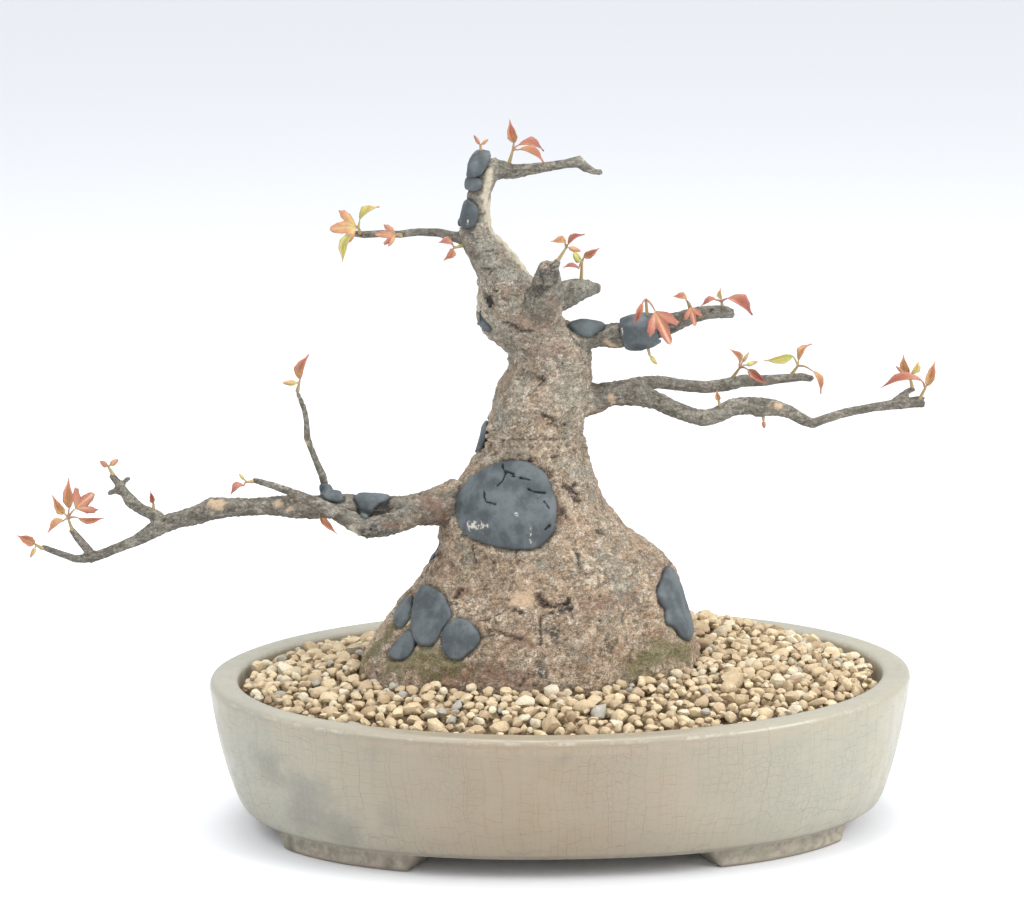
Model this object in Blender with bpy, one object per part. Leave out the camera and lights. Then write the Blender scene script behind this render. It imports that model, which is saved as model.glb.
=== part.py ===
"""Trident maple bonsai, about 165 mm tall, in a shallow oval glazed pot.

Every size is in millimetres and is multiplied by MM, so the objects come out in metres, +Z up.
Points are given from the centre of the pot, at the height of the surface it stands on.
"""
import math
import random

import bmesh
import bpy
from mathutils import Matrix, Vector, noise
from mathutils.bvhtree import BVHTree

MM = 0.001
CLEAR = 0.35                    # gap left between two pieces that touch
POT_X = 24.4                    # the tree leans out to the left, so the pot stands right of the middle

# pot: half length, half depth, heights
RIM = (105.0, 75.0)
RIM_TOP = 45.0
RIM_WIDTH = 8.5
FOOT_TOP = 6.0
FLOOR_TOP = 14.0
POT_SIDES = 44
FOOT = (92.0, 59.5)             # outer outline of the four feet
FOOT_WIDTH = 12.0
FOOT_ARC = (28.0, 63.0)         # degrees round the outline, in each quarter
FOOT_SPREAD = 3.0               # degrees that a foot is longer at its top, at each end
DRAIN_X = 38.0
DRAIN_RADIUS = 9.5

# drainage screens and the wire clips that hold them
SCREEN_HOLES = 3
SCREEN_PITCH = 7.0
SCREEN_BAR = 1.4
SCREEN_THICK = 1.2
WIRE = 0.6                      # radius of the clip wire

# soil: a mound, lower at the rim, with larger-than-life grains in its surface
SOIL_EDGE = 42.2
SOIL_RISE = 10.0
GRAIN_PITCH = 11.6
GRAIN_HIGH = 1.5
GRAIN_LOW = -1.5
GRAIN_SEED = 3
GRAIN_SHIFT = 1.9               # how far a grain stands from its regular place

# trunk: height, left, right, front and back of its outline
TRUNK_FOOT = 27.0
TRUNK = (
    (27.0, -57.0, 40.0, -33.0, 31.0),
    (42.0, -61.0, 43.0, -36.0, 34.0),
    (51.0, -59.5, 42.0, -35.5, 33.5),
    (58.0, -54.0, 40.3, -33.0, 31.5),
    (63.0, -49.8, 39.0, -31.0, 30.0),
    (70.0, -44.5, 36.6, -29.0, 28.0),
    (76.0, -40.0, 34.6, -27.5, 26.0),
    (81.0, -36.2, 31.4, -26.0, 24.0),
    (84.0, -34.6, 26.5, -25.0, 23.0),
    (88.0, -35.0, 20.6, -24.0, 21.5),
    (93.0, -34.0, 17.2, -22.8, 19.5),
    (98.0, -32.0, 13.6, -21.4, 18.0),
    (103.0, -30.0, 11.6, -19.6, 17.0),
    (108.0, -26.6, 10.2, -17.6, 16.0),
    (113.0, -22.0, 8.8, -15.8, 15.0),
    (118.0, -20.6, 7.4, -15.0, 14.5),
    (123.0, -20.0, 8.6, -14.8, 14.3),
    (128.0, -19.0, 10.6, -14.5, 14.0),
    (133.0, -17.2, 10.3, -13.4, 13.2),
    (138.0, -13.4, 10.3, -12.4, 12.2),
    (142.0, -13.8, 10.4, -12.2, 12.0),
    (146.0, -17.8, 7.6, -12.6, 12.0),
    (151.0, -22.0, 2.4, -12.6, 11.8),
    (156.0, -23.2, -0.4, -12.2, 11.4),
    (160.0, -23.1, -3.0, -11.2, 10.4),
    (165.0, -22.8, -7.4, -8.6, 8.4),
    (170.0, -25.0, -10.4, -7.4, 7.2),
    (174.5, -27.2, -14.2, -6.6, 6.4),
    (179.0, -27.4, -18.6, -5.2, 5.2),
    (185.0, -26.2, -19.0, -4.6, 4.6),
    (190.0, -25.4, -18.4, -4.4, 4.4),
    (194.5, -25.0, -15.8, -4.6, 4.6),
    (198.0, -24.2, -16.4, -4.0, 4.0),
    (200.0, -22.4, -18.0, -2.2, 2.2),
)
TRUNK_SIDES = 28
KNOT_HOLE = ((-19.4, -9.6, 158.9), (1.6, 3.0, 2.4))

# branches: x, y, z and radius at each point
LIMBS = {
    "left_main": (8, (
        (-29.0, -3.0, 99.2, 6.8), (-35.5, -6.0, 97.6, 6.2), (-40.2, -8.0, 97.4, 5.3),
        (-45.2, -9.0, 97.0, 4.5), (-51.1, -9.0, 97.6, 4.2), (-58.0, -9.0, 98.3, 3.9),
        (-65.0, -10.0, 98.9, 4.0), (-72.5, -11.0, 98.9, 3.7), (-79.0, -12.0, 99.5, 3.7),
        (-85.5, -13.0, 99.8, 2.9), (-91.0, -13.0, 99.6, 2.7), (-97.0, -13.0, 99.7, 3.0),
        (-101.7, -13.0, 99.1, 3.6), (-106.5, -12.0, 97.2, 2.9), (-112.0, -11.0, 95.6, 2.6),
        (-117.2, -10.0, 93.6, 2.8), (-121.0, -9.0, 91.2, 2.3), (-125.0, -8.0, 88.8, 1.8),
        (-130.0, -7.0, 86.6, 1.6), (-135.0, -6.0, 84.4, 1.5), (-139.0, -5.0, 83.0, 1.6),
        (-143.5, -4.4, 82.6, 1.2), (-147.5, -4.2, 84.0, 1.1), (-151.0, -4.0, 85.4, 1.0),
        (-153.6, -4.6, 86.6, 0.8))),
    "front_spur": (7, (
        (-38.6, -8.5, 97.0, 3.2), (-45.0, -13.6, 95.6, 3.6), (-51.0, -16.6, 94.4, 3.6),
        (-56.0, -17.6, 94.0, 3.3), (-60.6, -17.8, 96.1, 2.9), (-65.4, -17.8, 98.8, 2.3),
        (-70.4, -17.0, 101.1, 1.9), (-74.8, -16.0, 103.1, 1.6), (-79.2, -15.0, 104.7, 1.3),
        (-84.0, -14.0, 106.3, 1.1), (-89.6, -13.0, 107.8, 0.9))),
    "riser": (6, (
        (-68.0, -7.6, 100.6, 1.6), (-69.3, -8.0, 107.6, 1.3), (-71.0, -8.6, 112.0, 1.1),
        (-72.6, -9.2, 116.6, 1.0), (-73.5, -9.4, 119.4, 1.2), (-73.5, -9.6, 124.0, 0.9),
        (-74.0, -9.2, 127.8, 0.9), (-75.4, -9.0, 131.4, 0.8), (-76.2, -9.0, 133.4, 0.7))),
    "knobby": (6, (
        (-116.4, -10.0, 94.2, 2.4), (-119.6, -9.4, 97.0, 2.0), (-123.4, -8.6, 98.6, 1.8),
        (-126.2, -8.0, 100.8, 2.1), (-127.6, -7.8, 103.0, 1.6), (-129.4, -7.2, 105.6, 1.3),
        (-131.8, -7.0, 108.9, 1.0))),
    "knobby_stub_low": (5, (
        (-128.0, -7.8, 103.0, 1.1), (-130.4, -8.0, 103.8, 0.9), (-132.8, -8.2, 103.2, 1.0))),
    "knobby_stub_high": (5, (
        (-129.0, -7.3, 105.2, 0.9), (-127.2, -6.8, 107.0, 0.8), (-126.2, -6.6, 107.6, 1.0))),
    "left_spur": (6, (
        (-138.0, -5.2, 83.4, 1.5), (-140.2, -5.2, 86.4, 1.4), (-142.4, -5.4, 89.2, 1.3),
        (-144.4, -5.6, 92.2, 1.0))),
    "upper_left": (6, (
        (-24.0, 0.4, 175.6, 2.2), (-29.5, 1.0, 176.8, 1.7), (-34.0, 1.4, 178.0, 1.4),
        (-40.0, 2.0, 178.2, 1.3), (-45.6, 2.4, 177.5, 1.2), (-51.0, 2.8, 177.7, 1.2),
        (-56.0, 3.0, 177.5, 1.2), (-60.2, 3.0, 178.0, 0.9))),
    "apex_right": (7, (
        (-21.0, 0.0, 196.4, 3.6), (-16.2, 0.0, 196.6, 3.1), (-11.6, 0.0, 196.0, 2.3),
        (-7.0, -0.6, 196.6, 1.8), (-1.6, -1.2, 197.4, 1.5), (3.4, -1.8, 198.2, 1.4),
        (7.2, -2.0, 198.8, 1.9), (9.4, -2.0, 196.9, 1.4), (11.9, -2.2, 195.8, 1.0),
        (14.2, -2.4, 195.6, 1.1))),
    "front_stub": (8, (
        (-4.6, -5.0, 153.0, 5.8), (-3.2, -9.6, 158.6, 5.6), (-2.4, -14.0, 164.4, 4.8),
        (-2.4, -16.8, 169.0, 3.6), (-2.4, -18.0, 171.4, 2.4))),
    "front_stub_spike": (5, (
        (-0.6, -16.6, 168.6, 1.6), (0.6, -18.0, 172.6, 1.1))),
    "grey_stub": (8, (
        (-4.0, 2.0, 156.6, 5.2), (2.0, 3.4, 158.4, 4.4), (6.4, 4.2, 160.0, 4.0),
        (10.0, 4.8, 160.2, 3.4), (13.2, 5.0, 160.2, 1.9))),
    "right_upper": (8, (
        (1.5, -1.6, 145.6, 5.4), (9.0, -3.0, 147.6, 4.3), (13.5, -4.0, 147.8, 3.6),
        (17.4, -5.0, 147.6, 4.0), (21.6, -6.0, 148.5, 3.9), (26.0, -7.0, 149.3, 3.9),
        (30.4, -8.0, 150.6, 3.4), (34.8, -9.0, 152.2, 2.9), (39.2, -9.4, 154.1, 2.5),
        (43.8, -10.0, 155.2, 2.1), (48.6, -10.0, 155.3, 2.0), (52.0, -10.0, 154.6, 1.4))),
    "right_pair": (8, (
        (3.0, -1.6, 127.8, 6.2), (11.6, -2.0, 128.4, 4.6), (16.0, -2.8, 130.0, 3.6),
        (20.4, -3.0, 130.2, 4.1), (24.8, -3.4, 129.6, 3.7), (29.2, -5.2, 128.2, 2.8),
        (33.8, -7.0, 126.2, 2.6), (38.4, -8.2, 124.6, 2.6), (43.0, -9.0, 123.4, 2.6),
        (47.0, -9.0, 124.4, 2.5), (51.2, -9.0, 126.6, 2.7), (55.6, -8.4, 127.0, 2.6),
        (60.0, -8.0, 126.4, 3.0), (64.2, -8.0, 126.2, 2.5), (68.4, -8.0, 124.8, 1.9),
        (72.4, -8.0, 122.4, 1.8), (75.2, -8.0, 121.2, 1.6), (79.0, -8.0, 122.7, 1.5),
        (85.0, -7.0, 124.2, 1.4), (92.6, -6.0, 125.4, 1.4), (99.6, -5.0, 126.0, 1.6),
        (105.0, -4.4, 126.4, 1.7), (108.4, -4.2, 126.6, 1.9))),
    "right_back": (7, (
        (20.4, -2.0, 131.0, 3.2), (26.0, 2.0, 132.2, 2.3), (31.0, 5.0, 131.8, 2.0),
        (37.6, 7.4, 130.2, 1.9), (44.6, 9.0, 129.2, 2.0), (50.2, 10.0, 129.6, 2.1),
        (55.6, 11.0, 130.6, 2.0), (61.6, 11.4, 130.6, 1.8), (68.2, 12.0, 131.0, 1.5),
        (73.4, 12.0, 131.4, 1.3), (76.8, 12.0, 130.8, 1.1))),
    "tip_spur": (6, (
        (98.6, -5.0, 126.0, 1.3), (100.8, -5.0, 128.2, 1.1), (103.4, -4.4, 129.8, 1.0),
        (105.4, -4.0, 130.6, 0.9))),
}

# wound putty: target on the trunk or branch, facing, half width and half height in degrees or
# millimetres along its axis, thickness, rings and sides
PATCHES = {
    "cut_paste_front": ((-11.5, 0.0, 99.5), (-0.16, -1.0, 0.05), 37.0, 13.4, 2.6, 4, 18),
    "cut_paste_base_left": ((-30.8, 0.0, 70.4), (-0.22, -1.0, 0.1), 9.8, 9.2, 1.8, 3, 12),
    "cut_paste_base_round": ((-25.8, 0.0, 63.0), (-0.02, -1.0, 0.1), 9.6, 5.8, 1.8, 2, 12),
    "cut_paste_base_small": ((-44.0, 0.0, 62.2), (-0.16, -1.0, 0.1), 8.6, 5.0, 1.5, 2, 10),
    "cut_paste_base_edge": ((-42.0, 0.0, 69.0), (-0.75, -1.0, 0.3), 8.5, 5.0, 1.4, 2, 10),
    "cut_paste_left_back": ((-16.0, 3.0, 76.5), (-1.0, 0.06, 0.4), 12.0, 7.0, 1.5, 2, 10),
    "cut_paste_base_right": ((14.0, 0.0, 66.5), (1.0, -0.62, 0.2), 19.0, 12.0, 2.0, 3, 14),
    "cut_paste_waist": ((-6.8, 0.0, 116.6), (-1.0, 0.12, 0.0), 20.0, 4.8, 1.6, 2, 10),
    "cut_paste_knob": ((-11.5, 0.0, 151.0), (-1.0, -0.22, 0.0), 28.0, 4.2, 1.9, 2, 12),
    "cut_paste_neck_upper": ((-21.6, 0.0, 191.3), (-0.8, -0.7, 0.0), 62.0, 2.6, 1.7, 3, 10),
    "cut_paste_neck_lower": ((-22.6, 0.0, 183.9), (-0.7, -0.7, 0.0), 58.0, 4.4, 1.6, 3, 10),
    "cut_paste_neck_root": ((-23.2, 2.6, 180.6), (-1.0, 0.5, 0.1), 36.0, 2.0, 1.5, 2, 8),
}
CAP = ((-21.0, 0.0, 196.0), (-0.52, -0.24, 0.82), 74.0, 1.9)
CUFFS = {
    "cut_paste_right_root": ((10.6, -3.3, 147.7), (16.4, -4.6, 147.8), (0.0, -0.6, 0.9), 88.0, 5.2, 1.3),
    "cut_paste_right_band": ((20.6, -5.7, 148.2), (29.6, -7.8, 150.4), (0.0, -0.9, 0.3), 150.0, 5.6, 1.3),
    "cut_paste_left_outer": ((-71.6, -10.8, 98.9), (-62.6, -9.8, 98.8), (0.0, -0.45, 0.9), 35.0, 3.4, 1.4),
    "cut_paste_left_inner": ((-59.0, -9.2, 98.4), (-48.6, -9.0, 97.4), (0.0, -0.34, 0.95), 62.0, 5.0, 1.3),
}

# half outlines of a blade: place along the rib, place of the edge, half width
FOLDED = ((0.0, 0.0, 0.12), (0.34, 0.42, 0.50), (0.54, 0.50, 0.37))
OPEN = ((0.0, 0.0, 0.08), (0.30, 0.50, 0.52), (0.46, 0.53, 0.24), (0.72, 0.76, 0.23))
BUD = ((0.0, 0.0, 0.20), (0.45, 0.45, 0.50))
BLADE_THICK = 0.62
STEM = 0.58                     # radius of a shoot's stem at the twig
HUB = 0.92                      # radius of the swelling that the stalks spring from
STALK = 0.4                     # radius of its top
FOLD = {FOLDED: 0.75, OPEN: 0.25, BUD: 0.5}

# leafy shoots: where the stem leaves the twig, its crown, then each blade from base to tip
SHOOTS = {
    "leafy_shoot_apex": ((-13.1, 0.0, 198.3), (-11.9, -1.0, 202.3), (
        ((-11.5, -1.0, 204.6), (-11.9, -3.0, 211.4), 3.6, FOLDED),
        ((-10.4, 0.6, 203.4), (-3.0, 5.0, 201.0), 3.4, FOLDED),
        ((-10.4, -2.0, 202.4), (-3.2, -6.0, 198.4), 3.2, FOLDED))),
    "leafy_shoot_cap": ((-21.2, -1.0, 202.8), (-21.3, -1.2, 203.9), (
        ((-21.6, -1.2, 204.2), (-23.2, -2.0, 207.0), 1.4, BUD),
        ((-20.9, -1.0, 204.2), (-19.0, 0.0, 205.4), 1.3, BUD))),
    "leafy_shoot_upper_left": ((-57.0, 1.6, 178.9), (-57.4, 0.2, 180.0), (
        ((-57.0, 0.4, 182.0), (-51.2, 2.0, 185.6), 3.2, FOLDED),
        ((-58.0, -1.4, 180.6), (-65.0, -5.0, 180.6), 7.0, OPEN),
        ((-59.4, -2.6, 178.9), (-61.9, -6.0, 170.9), 3.2, FOLDED))),
    "leafy_shoot_upper_mid": ((-45.0, 0.6, 177.6), (-45.8, -1.2, 178.0), (
        ((-46.4, -1.8, 178.0), (-52.0, -4.0, 178.6), 4.0, OPEN),
        ((-47.0, -2.2, 177.4), (-48.6, -4.6, 175.0), 1.8, BUD))),
    "leafy_shoot_neck": ((-28.0, -2.6, 174.2), (-29.2, -4.4, 174.4), (
        ((-29.8, -4.8, 174.9), (-34.1, -7.0, 175.6), 3.0, FOLDED),
        ((-29.8, -5.0, 173.9), (-32.4, -7.6, 171.3), 2.6, FOLDED))),
    "leafy_shoot_front_stub": ((0.6, -18.0, 172.8), (3.0, -19.0, 176.1), (
        ((2.7, -20.0, 177.7), (-1.5, -23.0, 178.5), 2.6, FOLDED),
        ((3.5, -20.0, 177.2), (8.2, -21.0, 180.4), 2.0, FOLDED),
        ((3.8, -18.6, 176.1), (7.3, -17.0, 174.8), 1.8, BUD))),
    "leafy_shoot_grey_stub": ((8.0, 4.0, 163.7), (8.0, 3.0, 168.4), (
        ((8.6, 2.8, 169.9), (13.1, 1.0, 173.1), 2.4, FOLDED),
        ((6.9, 1.7, 168.6), (5.4, -0.4, 171.6), 2.2, BUD),
        ((6.9, 1.8, 166.6), (2.2, -1.4, 166.8), 1.9, FOLDED),
        ((7.6, 4.0, 169.2), (5.2, 5.4, 172.0), 1.5, BUD))),
    "leafy_shoot_right_root": ((26.2, -9.4, 154.4), (26.2, -11.4, 159.5), (
        ((25.1, -12.8, 158.6), (22.4, -15.4, 152.4), 2.0, FOLDED),
        ((28.7, -14.2, 156.5), (32.8, -18.5, 147.9), 8.5, OPEN))),
    "leafy_shoot_right_mid": ((39.1, -9.4, 156.6), (38.4, -11.4, 158.4), (
        ((37.8, -12.4, 159.2), (33.4, -15.0, 160.5), 2.6, FOLDED),
        ((39.3, -13.4, 157.4), (40.1, -15.6, 152.4), 3.6, OPEN))),
    "leafy_shoot_right_tip": ((48.7, -10.4, 157.2), (48.2, -11.4, 158.4), (
        ((48.2, -11.4, 159.2), (48.1, -11.2, 162.4), 1.7, FOLDED),
        ((46.4, -12.2, 159.1), (41.8, -15.0, 157.8), 2.2, FOLDED),
        ((49.6, -12.4, 159.5), (56.4, -15.5, 154.2), 4.6, FOLDED))),
    "leafy_shoot_right_under": ((27.0, -8.4, 143.2), (27.3, -8.8, 142.4), (
        ((27.6, -9.0, 142.0), (29.4, -10.4, 140.0), 2.0, BUD),)),
    "leafy_shoot_back_mid": ((52.2, 10.0, 132.2), (54.7, 8.1, 135.2), (
        ((54.4, 7.8, 136.5), (51.8, 6.0, 141.1), 2.6, FOLDED),
        ((57.0, 5.6, 135.0), (62.9, 1.6, 131.2), 2.8, FOLDED),
        ((55.6, 8.6, 136.8), (57.6, 9.8, 139.6), 1.6, BUD),
        ((56.8, 9.0, 135.8), (60.3, 11.0, 136.4), 1.8, BUD))),
    "leafy_shoot_back_tip": ((69.9, 12.0, 132.6), (72.2, 10.8, 135.0), (
        ((70.5, 9.8, 138.2), (61.5, 7.0, 137.7), 2.8, FOLDED),
        ((72.4, 11.0, 136.3), (76.7, 13.0, 141.0), 2.8, FOLDED),
        ((76.2, 8.6, 133.9), (78.5, 6.6, 127.1), 2.6, FOLDED))),
    "leafy_shoot_far_spur": ((105.0, -4.2, 131.6), (103.9, -5.0, 134.2), (
        ((103.5, -5.2, 135.2), (102.0, -6.0, 141.0), 2.6, FOLDED),
        ((104.2, -4.8, 135.0), (106.6, -3.0, 138.2), 2.4, FOLDED),
        ((103.1, -5.4, 134.6), (99.3, -8.0, 138.1), 1.6, BUD))),
    "leafy_shoot_far_tip": ((106.8, -5.6, 128.0), (108.2, -6.6, 131.0), (
        ((108.6, -6.8, 131.8), (111.2, -7.4, 139.3), 2.8, FOLDED),
        ((107.0, -8.8, 133.6), (94.9, -11.0, 132.0), 3.4, FOLDED))),
    "leafy_shoot_riser": ((-75.8, -9.2, 134.3), (-75.4, -9.4, 135.7), (
        ((-75.1, -9.6, 136.8), (-71.9, -11.0, 144.6), 3.4, FOLDED),
        ((-76.2, -10.0, 135.9), (-80.2, -12.0, 136.4), 2.0, BUD))),
    "leafy_shoot_front_spur": ((-90.6, -13.0, 107.9), (-91.4, -14.2, 107.4), (
        ((-92.0, -15.6, 106.6), (-95.6, -19.0, 105.0), 2.6, FOLDED),
        ((-92.0, -14.2, 108.2), (-93.4, -15.2, 110.2), 1.3, BUD))),
    "leafy_shoot_knobby": ((-132.2, -7.2, 109.9), (-132.3, -7.4, 111.0), (
        ((-132.7, -7.9, 111.4), (-134.4, -10.4, 113.4), 2.2, BUD),
        ((-131.8, -7.2, 111.6), (-129.4, -6.0, 112.9), 2.2, BUD))),
    "leafy_shoot_knobby_root": ((-119.0, -9.6, 99.0), (-119.2, -9.9, 100.2), (
        ((-119.3, -10.1, 100.6), (-120.2, -11.4, 104.6), 1.7, FOLDED),)),
    "leafy_shoot_left_fan": ((-144.9, -6.0, 93.2), (-144.9, -6.6, 95.4), (
        ((-145.9, -7.5, 97.1), (-149.1, -10.0, 103.1), 2.8, FOLDED),
        ((-144.5, -6.4, 98.5), (-144.1, -7.0, 107.5), 3.2, FOLDED),
        ((-142.9, -5.4, 98.0), (-137.5, -1.4, 102.0), 4.2, OPEN),
        ((-141.5, -7.7, 95.7), (-133.9, -9.6, 96.0), 2.2, FOLDED),
        ((-146.1, -7.7, 95.1), (-150.3, -12.0, 92.7), 2.4, FOLDED))),
    "leafy_shoot_left_tip": ((-154.2, -5.0, 87.0), (-154.8, -5.8, 87.4), (
        ((-155.2, -6.2, 87.7), (-160.2, -9.0, 91.0), 2.8, FOLDED),
        ((-155.0, -6.4, 86.6), (-156.4, -8.2, 84.0), 1.9, BUD))),
    "leafy_shoot_left_mid": ((-69.8, -13.9, 97.6), (-70.0, -14.8, 96.8), (
        ((-69.8, -15.3, 96.3), (-64.6, -19.6, 93.0), 2.2, FOLDED),)),
    "leafy_shoot_right_bud": ((60.6, -8.4, 123.2), (60.6, -8.6, 122.4), (
        ((60.6, -8.7, 122.2), (60.8, -9.2, 120.2), 1.6, BUD),)),
    "leafy_shoot_right_sprout": ((47.6, -9.6, 127.2), (47.4, -9.9, 128.6), (
        ((47.4, -10.0, 129.0), (46.8, -10.8, 132.2), 1.7, FOLDED),)),
}

COLOURS = {
    "tree": ((0.40, 0.32, 0.25), 0.85, 0.0),
    "pot": ((0.55, 0.50, 0.40), 0.3, 0.0),
    "soil": ((0.58, 0.45, 0.27), 0.95, 0.0),
    "putty": ((0.10, 0.12, 0.14), 0.6, 0.0),
    "leaf": ((0.62, 0.22, 0.12), 0.5, 0.0),
    "screen": ((0.03, 0.03, 0.03), 0.5, 0.0),
    "wire": ((0.70, 0.70, 0.72), 0.35, 1.0),
}


def smooth_step(low, high, value):
    """0 below low, 1 above high, and an even curve between them."""
    share = min(1.0, max(0.0, (value - low) / (high - low)))
    return share * share * (3.0 - 2.0 * share)


def signed_power(value, power):
    return math.copysign(abs(value) ** power, value)


def oval(half_x, half_y, squareness, degrees):
    """A point on a superellipse; squareness 2 is a plain ellipse."""
    turn = math.radians(degrees)
    power = 2.0 / squareness
    return (half_x * signed_power(math.cos(turn), power),
            half_y * signed_power(math.sin(turn), power))


def make_material(name, kind):
    colour, roughness, metallic = COLOURS[kind]
    material = bpy.data.materials.new(name + "_finish")
    material.use_nodes = True
    shader = material.node_tree.nodes["Principled BSDF"]
    shader.inputs["Base Color"].default_value = (*colour, 1.0)
    shader.inputs["Roughness"].default_value = roughness
    shader.inputs["Metallic"].default_value = metallic
    material.diffuse_color = (*colour, 1.0)
    return material


def add_object(name, shape, kind, parent=None, crease=40.0):
    """Turn a bmesh in millimetres into an object with its own material."""
    bmesh.ops.scale(shape, vec=(MM, MM, MM), verts=shape.verts)
    mesh = bpy.data.meshes.new(name)
    shape.to_mesh(mesh)
    shape.free()
    mesh.shade_smooth()
    mesh.set_sharp_from_angle(angle=math.radians(crease))
    mesh.materials.append(make_material(name, kind))
    item = bpy.data.objects.new(name, mesh)
    bpy.context.scene.collection.objects.link(item)
    item.parent = parent
    return item


def loft(shape, rings, close_start=True, close_end=True):
    """Skin a list of equal rings of points; the ends are closed with one face each."""
    rows = [[shape.verts.new(point) for point in ring] for ring in rings]
    sides = len(rows[0])
    for low, high in zip(rows, rows[1:]):
        for i in range(sides):
            j = (i + 1) % sides
            shape.faces.new((low[i], low[j], high[j], high[i]))
    if close_start:
        shape.faces.new(list(reversed(rows[0])))
    if close_end:
        shape.faces.new(rows[-1])
    return rows


def tube(shape, points, sides, lumps=0.0):
    """A round limb through points of x, y, z and radius."""
    path = [Vector(point[:3]) for point in points]
    radii = [point[3] for point in points]
    across = Vector((0.0, 1.0, 0.0))
    rings = []
    for k, centre in enumerate(path):
        ahead = path[min(k + 1, len(path) - 1)] - path[max(k - 1, 0)]
        ahead.normalize()
        across = (across - ahead * across.dot(ahead)).normalized()
        up = ahead.cross(across)
        ring = []
        for i in range(sides):
            turn = math.tau * i / sides
            out = across * math.cos(turn) + up * math.sin(turn)
            wobble = lumps * noise.noise((centre + out * radii[k]) * 0.45)
            ring.append(centre + out * radii[k] * (1.0 + wobble))
        rings.append(ring)
    loft(shape, rings)


def evaluated_mesh(item):
    graph = bpy.context.evaluated_depsgraph_get()
    graph.update()
    return bpy.data.meshes.new_from_object(item.evaluated_get(graph))


def is_closed(mesh):
    shape = bmesh.new()
    shape.from_mesh(mesh)
    closed = all(edge.is_manifold for edge in shape.edges)
    shape.free()
    return closed


def boolean(item, others, operation, solver="EXACT"):
    """Join or cut an object with others, apply the result and remove the others."""
    group = bpy.data.collections.new(item.name + "_operands")
    bpy.context.scene.collection.children.link(group)
    for other in others:
        bpy.context.scene.collection.objects.unlink(other)
        group.objects.link(other)
        if operation != "UNION":
            other.hide_render = True
            other.display_type = "WIRE"
    modifier = item.modifiers.new(operation.lower(), "BOOLEAN")
    modifier.operation = operation
    modifier.operand_type = "COLLECTION"
    modifier.collection = group
    modifier.solver = solver
    mesh = evaluated_mesh(item)
    if solver == "EXACT" and not is_closed(mesh):
        modifier.solver = "MANIFOLD"
        mesh = evaluated_mesh(item)
    item.modifiers.clear()
    item.data = mesh
    for other in others:
        bpy.data.objects.remove(other)
    bpy.data.collections.remove(group)


def weld(item, distance=0.00003):
    """Close up the slivers that a cut leaves, and split the faces into triangles."""
    shape = bmesh.new()
    shape.from_mesh(item.data)
    if distance:
        bmesh.ops.remove_doubles(shape, verts=shape.verts, dist=distance)
        bmesh.ops.dissolve_degenerate(shape, edges=shape.edges, dist=distance)
    bmesh.ops.triangulate(shape, faces=shape.faces)
    shape.to_mesh(item.data)
    shape.free()


def trunk_section(height):
    """Left, right, front and back of the trunk at a height, by a smooth curve through TRUNK."""
    k = 0
    while k < len(TRUNK) - 2 and height > TRUNK[k + 1][0]:
        k += 1
    low, high = TRUNK[k], TRUNK[k + 1]
    before, after = TRUNK[max(k - 1, 0)], TRUNK[min(k + 2, len(TRUNK) - 1)]
    share = (height - low[0]) / (high[0] - low[0])
    span = high[0] - low[0]
    values = []
    for n in range(1, 5):
        slope_low = (high[n] - before[n]) / max(high[0] - before[0], 1e-6)
        slope_high = (after[n] - low[n]) / max(after[0] - low[0], 1e-6)
        cube, square = share ** 3, share ** 2
        values.append((2 * cube - 3 * square + 1) * low[n] + (cube - 2 * square + share) * span * slope_low
                      + (3 * square - 2 * cube) * high[n] + (cube - square) * span * slope_high)
    return values


def trunk_ring(height, grow=0.0):
    """One level outline of the trunk, lumpy in front and behind, true at the two sides."""
    left, right, front, back = trunk_section(height)
    middle = (left + right) / 2.0
    flare = 1.0 - smooth_step(60.0, 95.0, height)
    lump = 0.5 + 2.2 * flare * smooth_step(30.0, 60.0, height) + 0.5 * flare
    squareness = 2.1 + 0.35 * flare
    ring = []
    for i in range(TRUNK_SIDES):
        degrees = 360.0 * i / TRUNK_SIDES
        x, y = oval((right - left) / 2.0 + grow, 1.0, squareness, degrees)
        depth = (back if y > 0 else -front) + grow
        face_on = abs(math.sin(math.radians(degrees)))
        place = Vector((x, y * depth, height))
        bulge = noise.noise(Vector((x * 0.075, y * depth * 0.075, height * 0.05)) + Vector((3.1, 7.7, 1.3)))
        buttress = 1.6 * flare * math.cos(math.radians(degrees * 5.0 + 30.0))
        swell = 1.0 + face_on * (lump * 1.6 * bulge + buttress) / max(depth, 8.0)
        ring.append(Vector((middle + x * (1.0 + 0.25 * (swell - 1.0)), place.y * swell, height)))
    return ring


def trunk_body(foot, top, grow=0.0):
    """The trunk from foot to top, with rings close together where its outline changes fast."""
    heights = [row[0] for row in TRUNK if foot < row[0] < top]
    shape = bmesh.new()
    loft(shape, [trunk_ring(height, grow) for height in [foot] + heights + [top]])
    bmesh.ops.triangulate(shape, faces=shape.faces, quad_method="FIXED")
    return shape


def build_tree(parent):
    """Trunk and all its branches, which grew as one piece."""
    tree = add_object("tree", trunk_body(TRUNK_FOOT, TRUNK[-1][0]), "tree", parent, crease=70.0)
    limbs = []
    for name, (sides, points) in LIMBS.items():
        shape = bmesh.new()
        tube(shape, points, sides, lumps=0.12)
        limbs.append(add_object(name, shape, "tree", parent))
    boolean(tree, limbs, "UNION")
    centre, half = KNOT_HOLE
    hole = bmesh.new()
    bmesh.ops.create_icosphere(hole, subdivisions=1, radius=1.0)
    bmesh.ops.scale(hole, vec=half, verts=hole.verts)
    bmesh.ops.translate(hole, vec=centre, verts=hole.verts)
    boolean(tree, [add_object("knot_hole", hole, "tree", parent)], "DIFFERENCE")
    weld(tree)
    return tree


def pot_outline(z, half_x, half_y, squareness):
    return [Vector((*oval(half_x, half_y, squareness, 360.0 * i / POT_SIDES), z))
            for i in range(POT_SIDES)]


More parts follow.
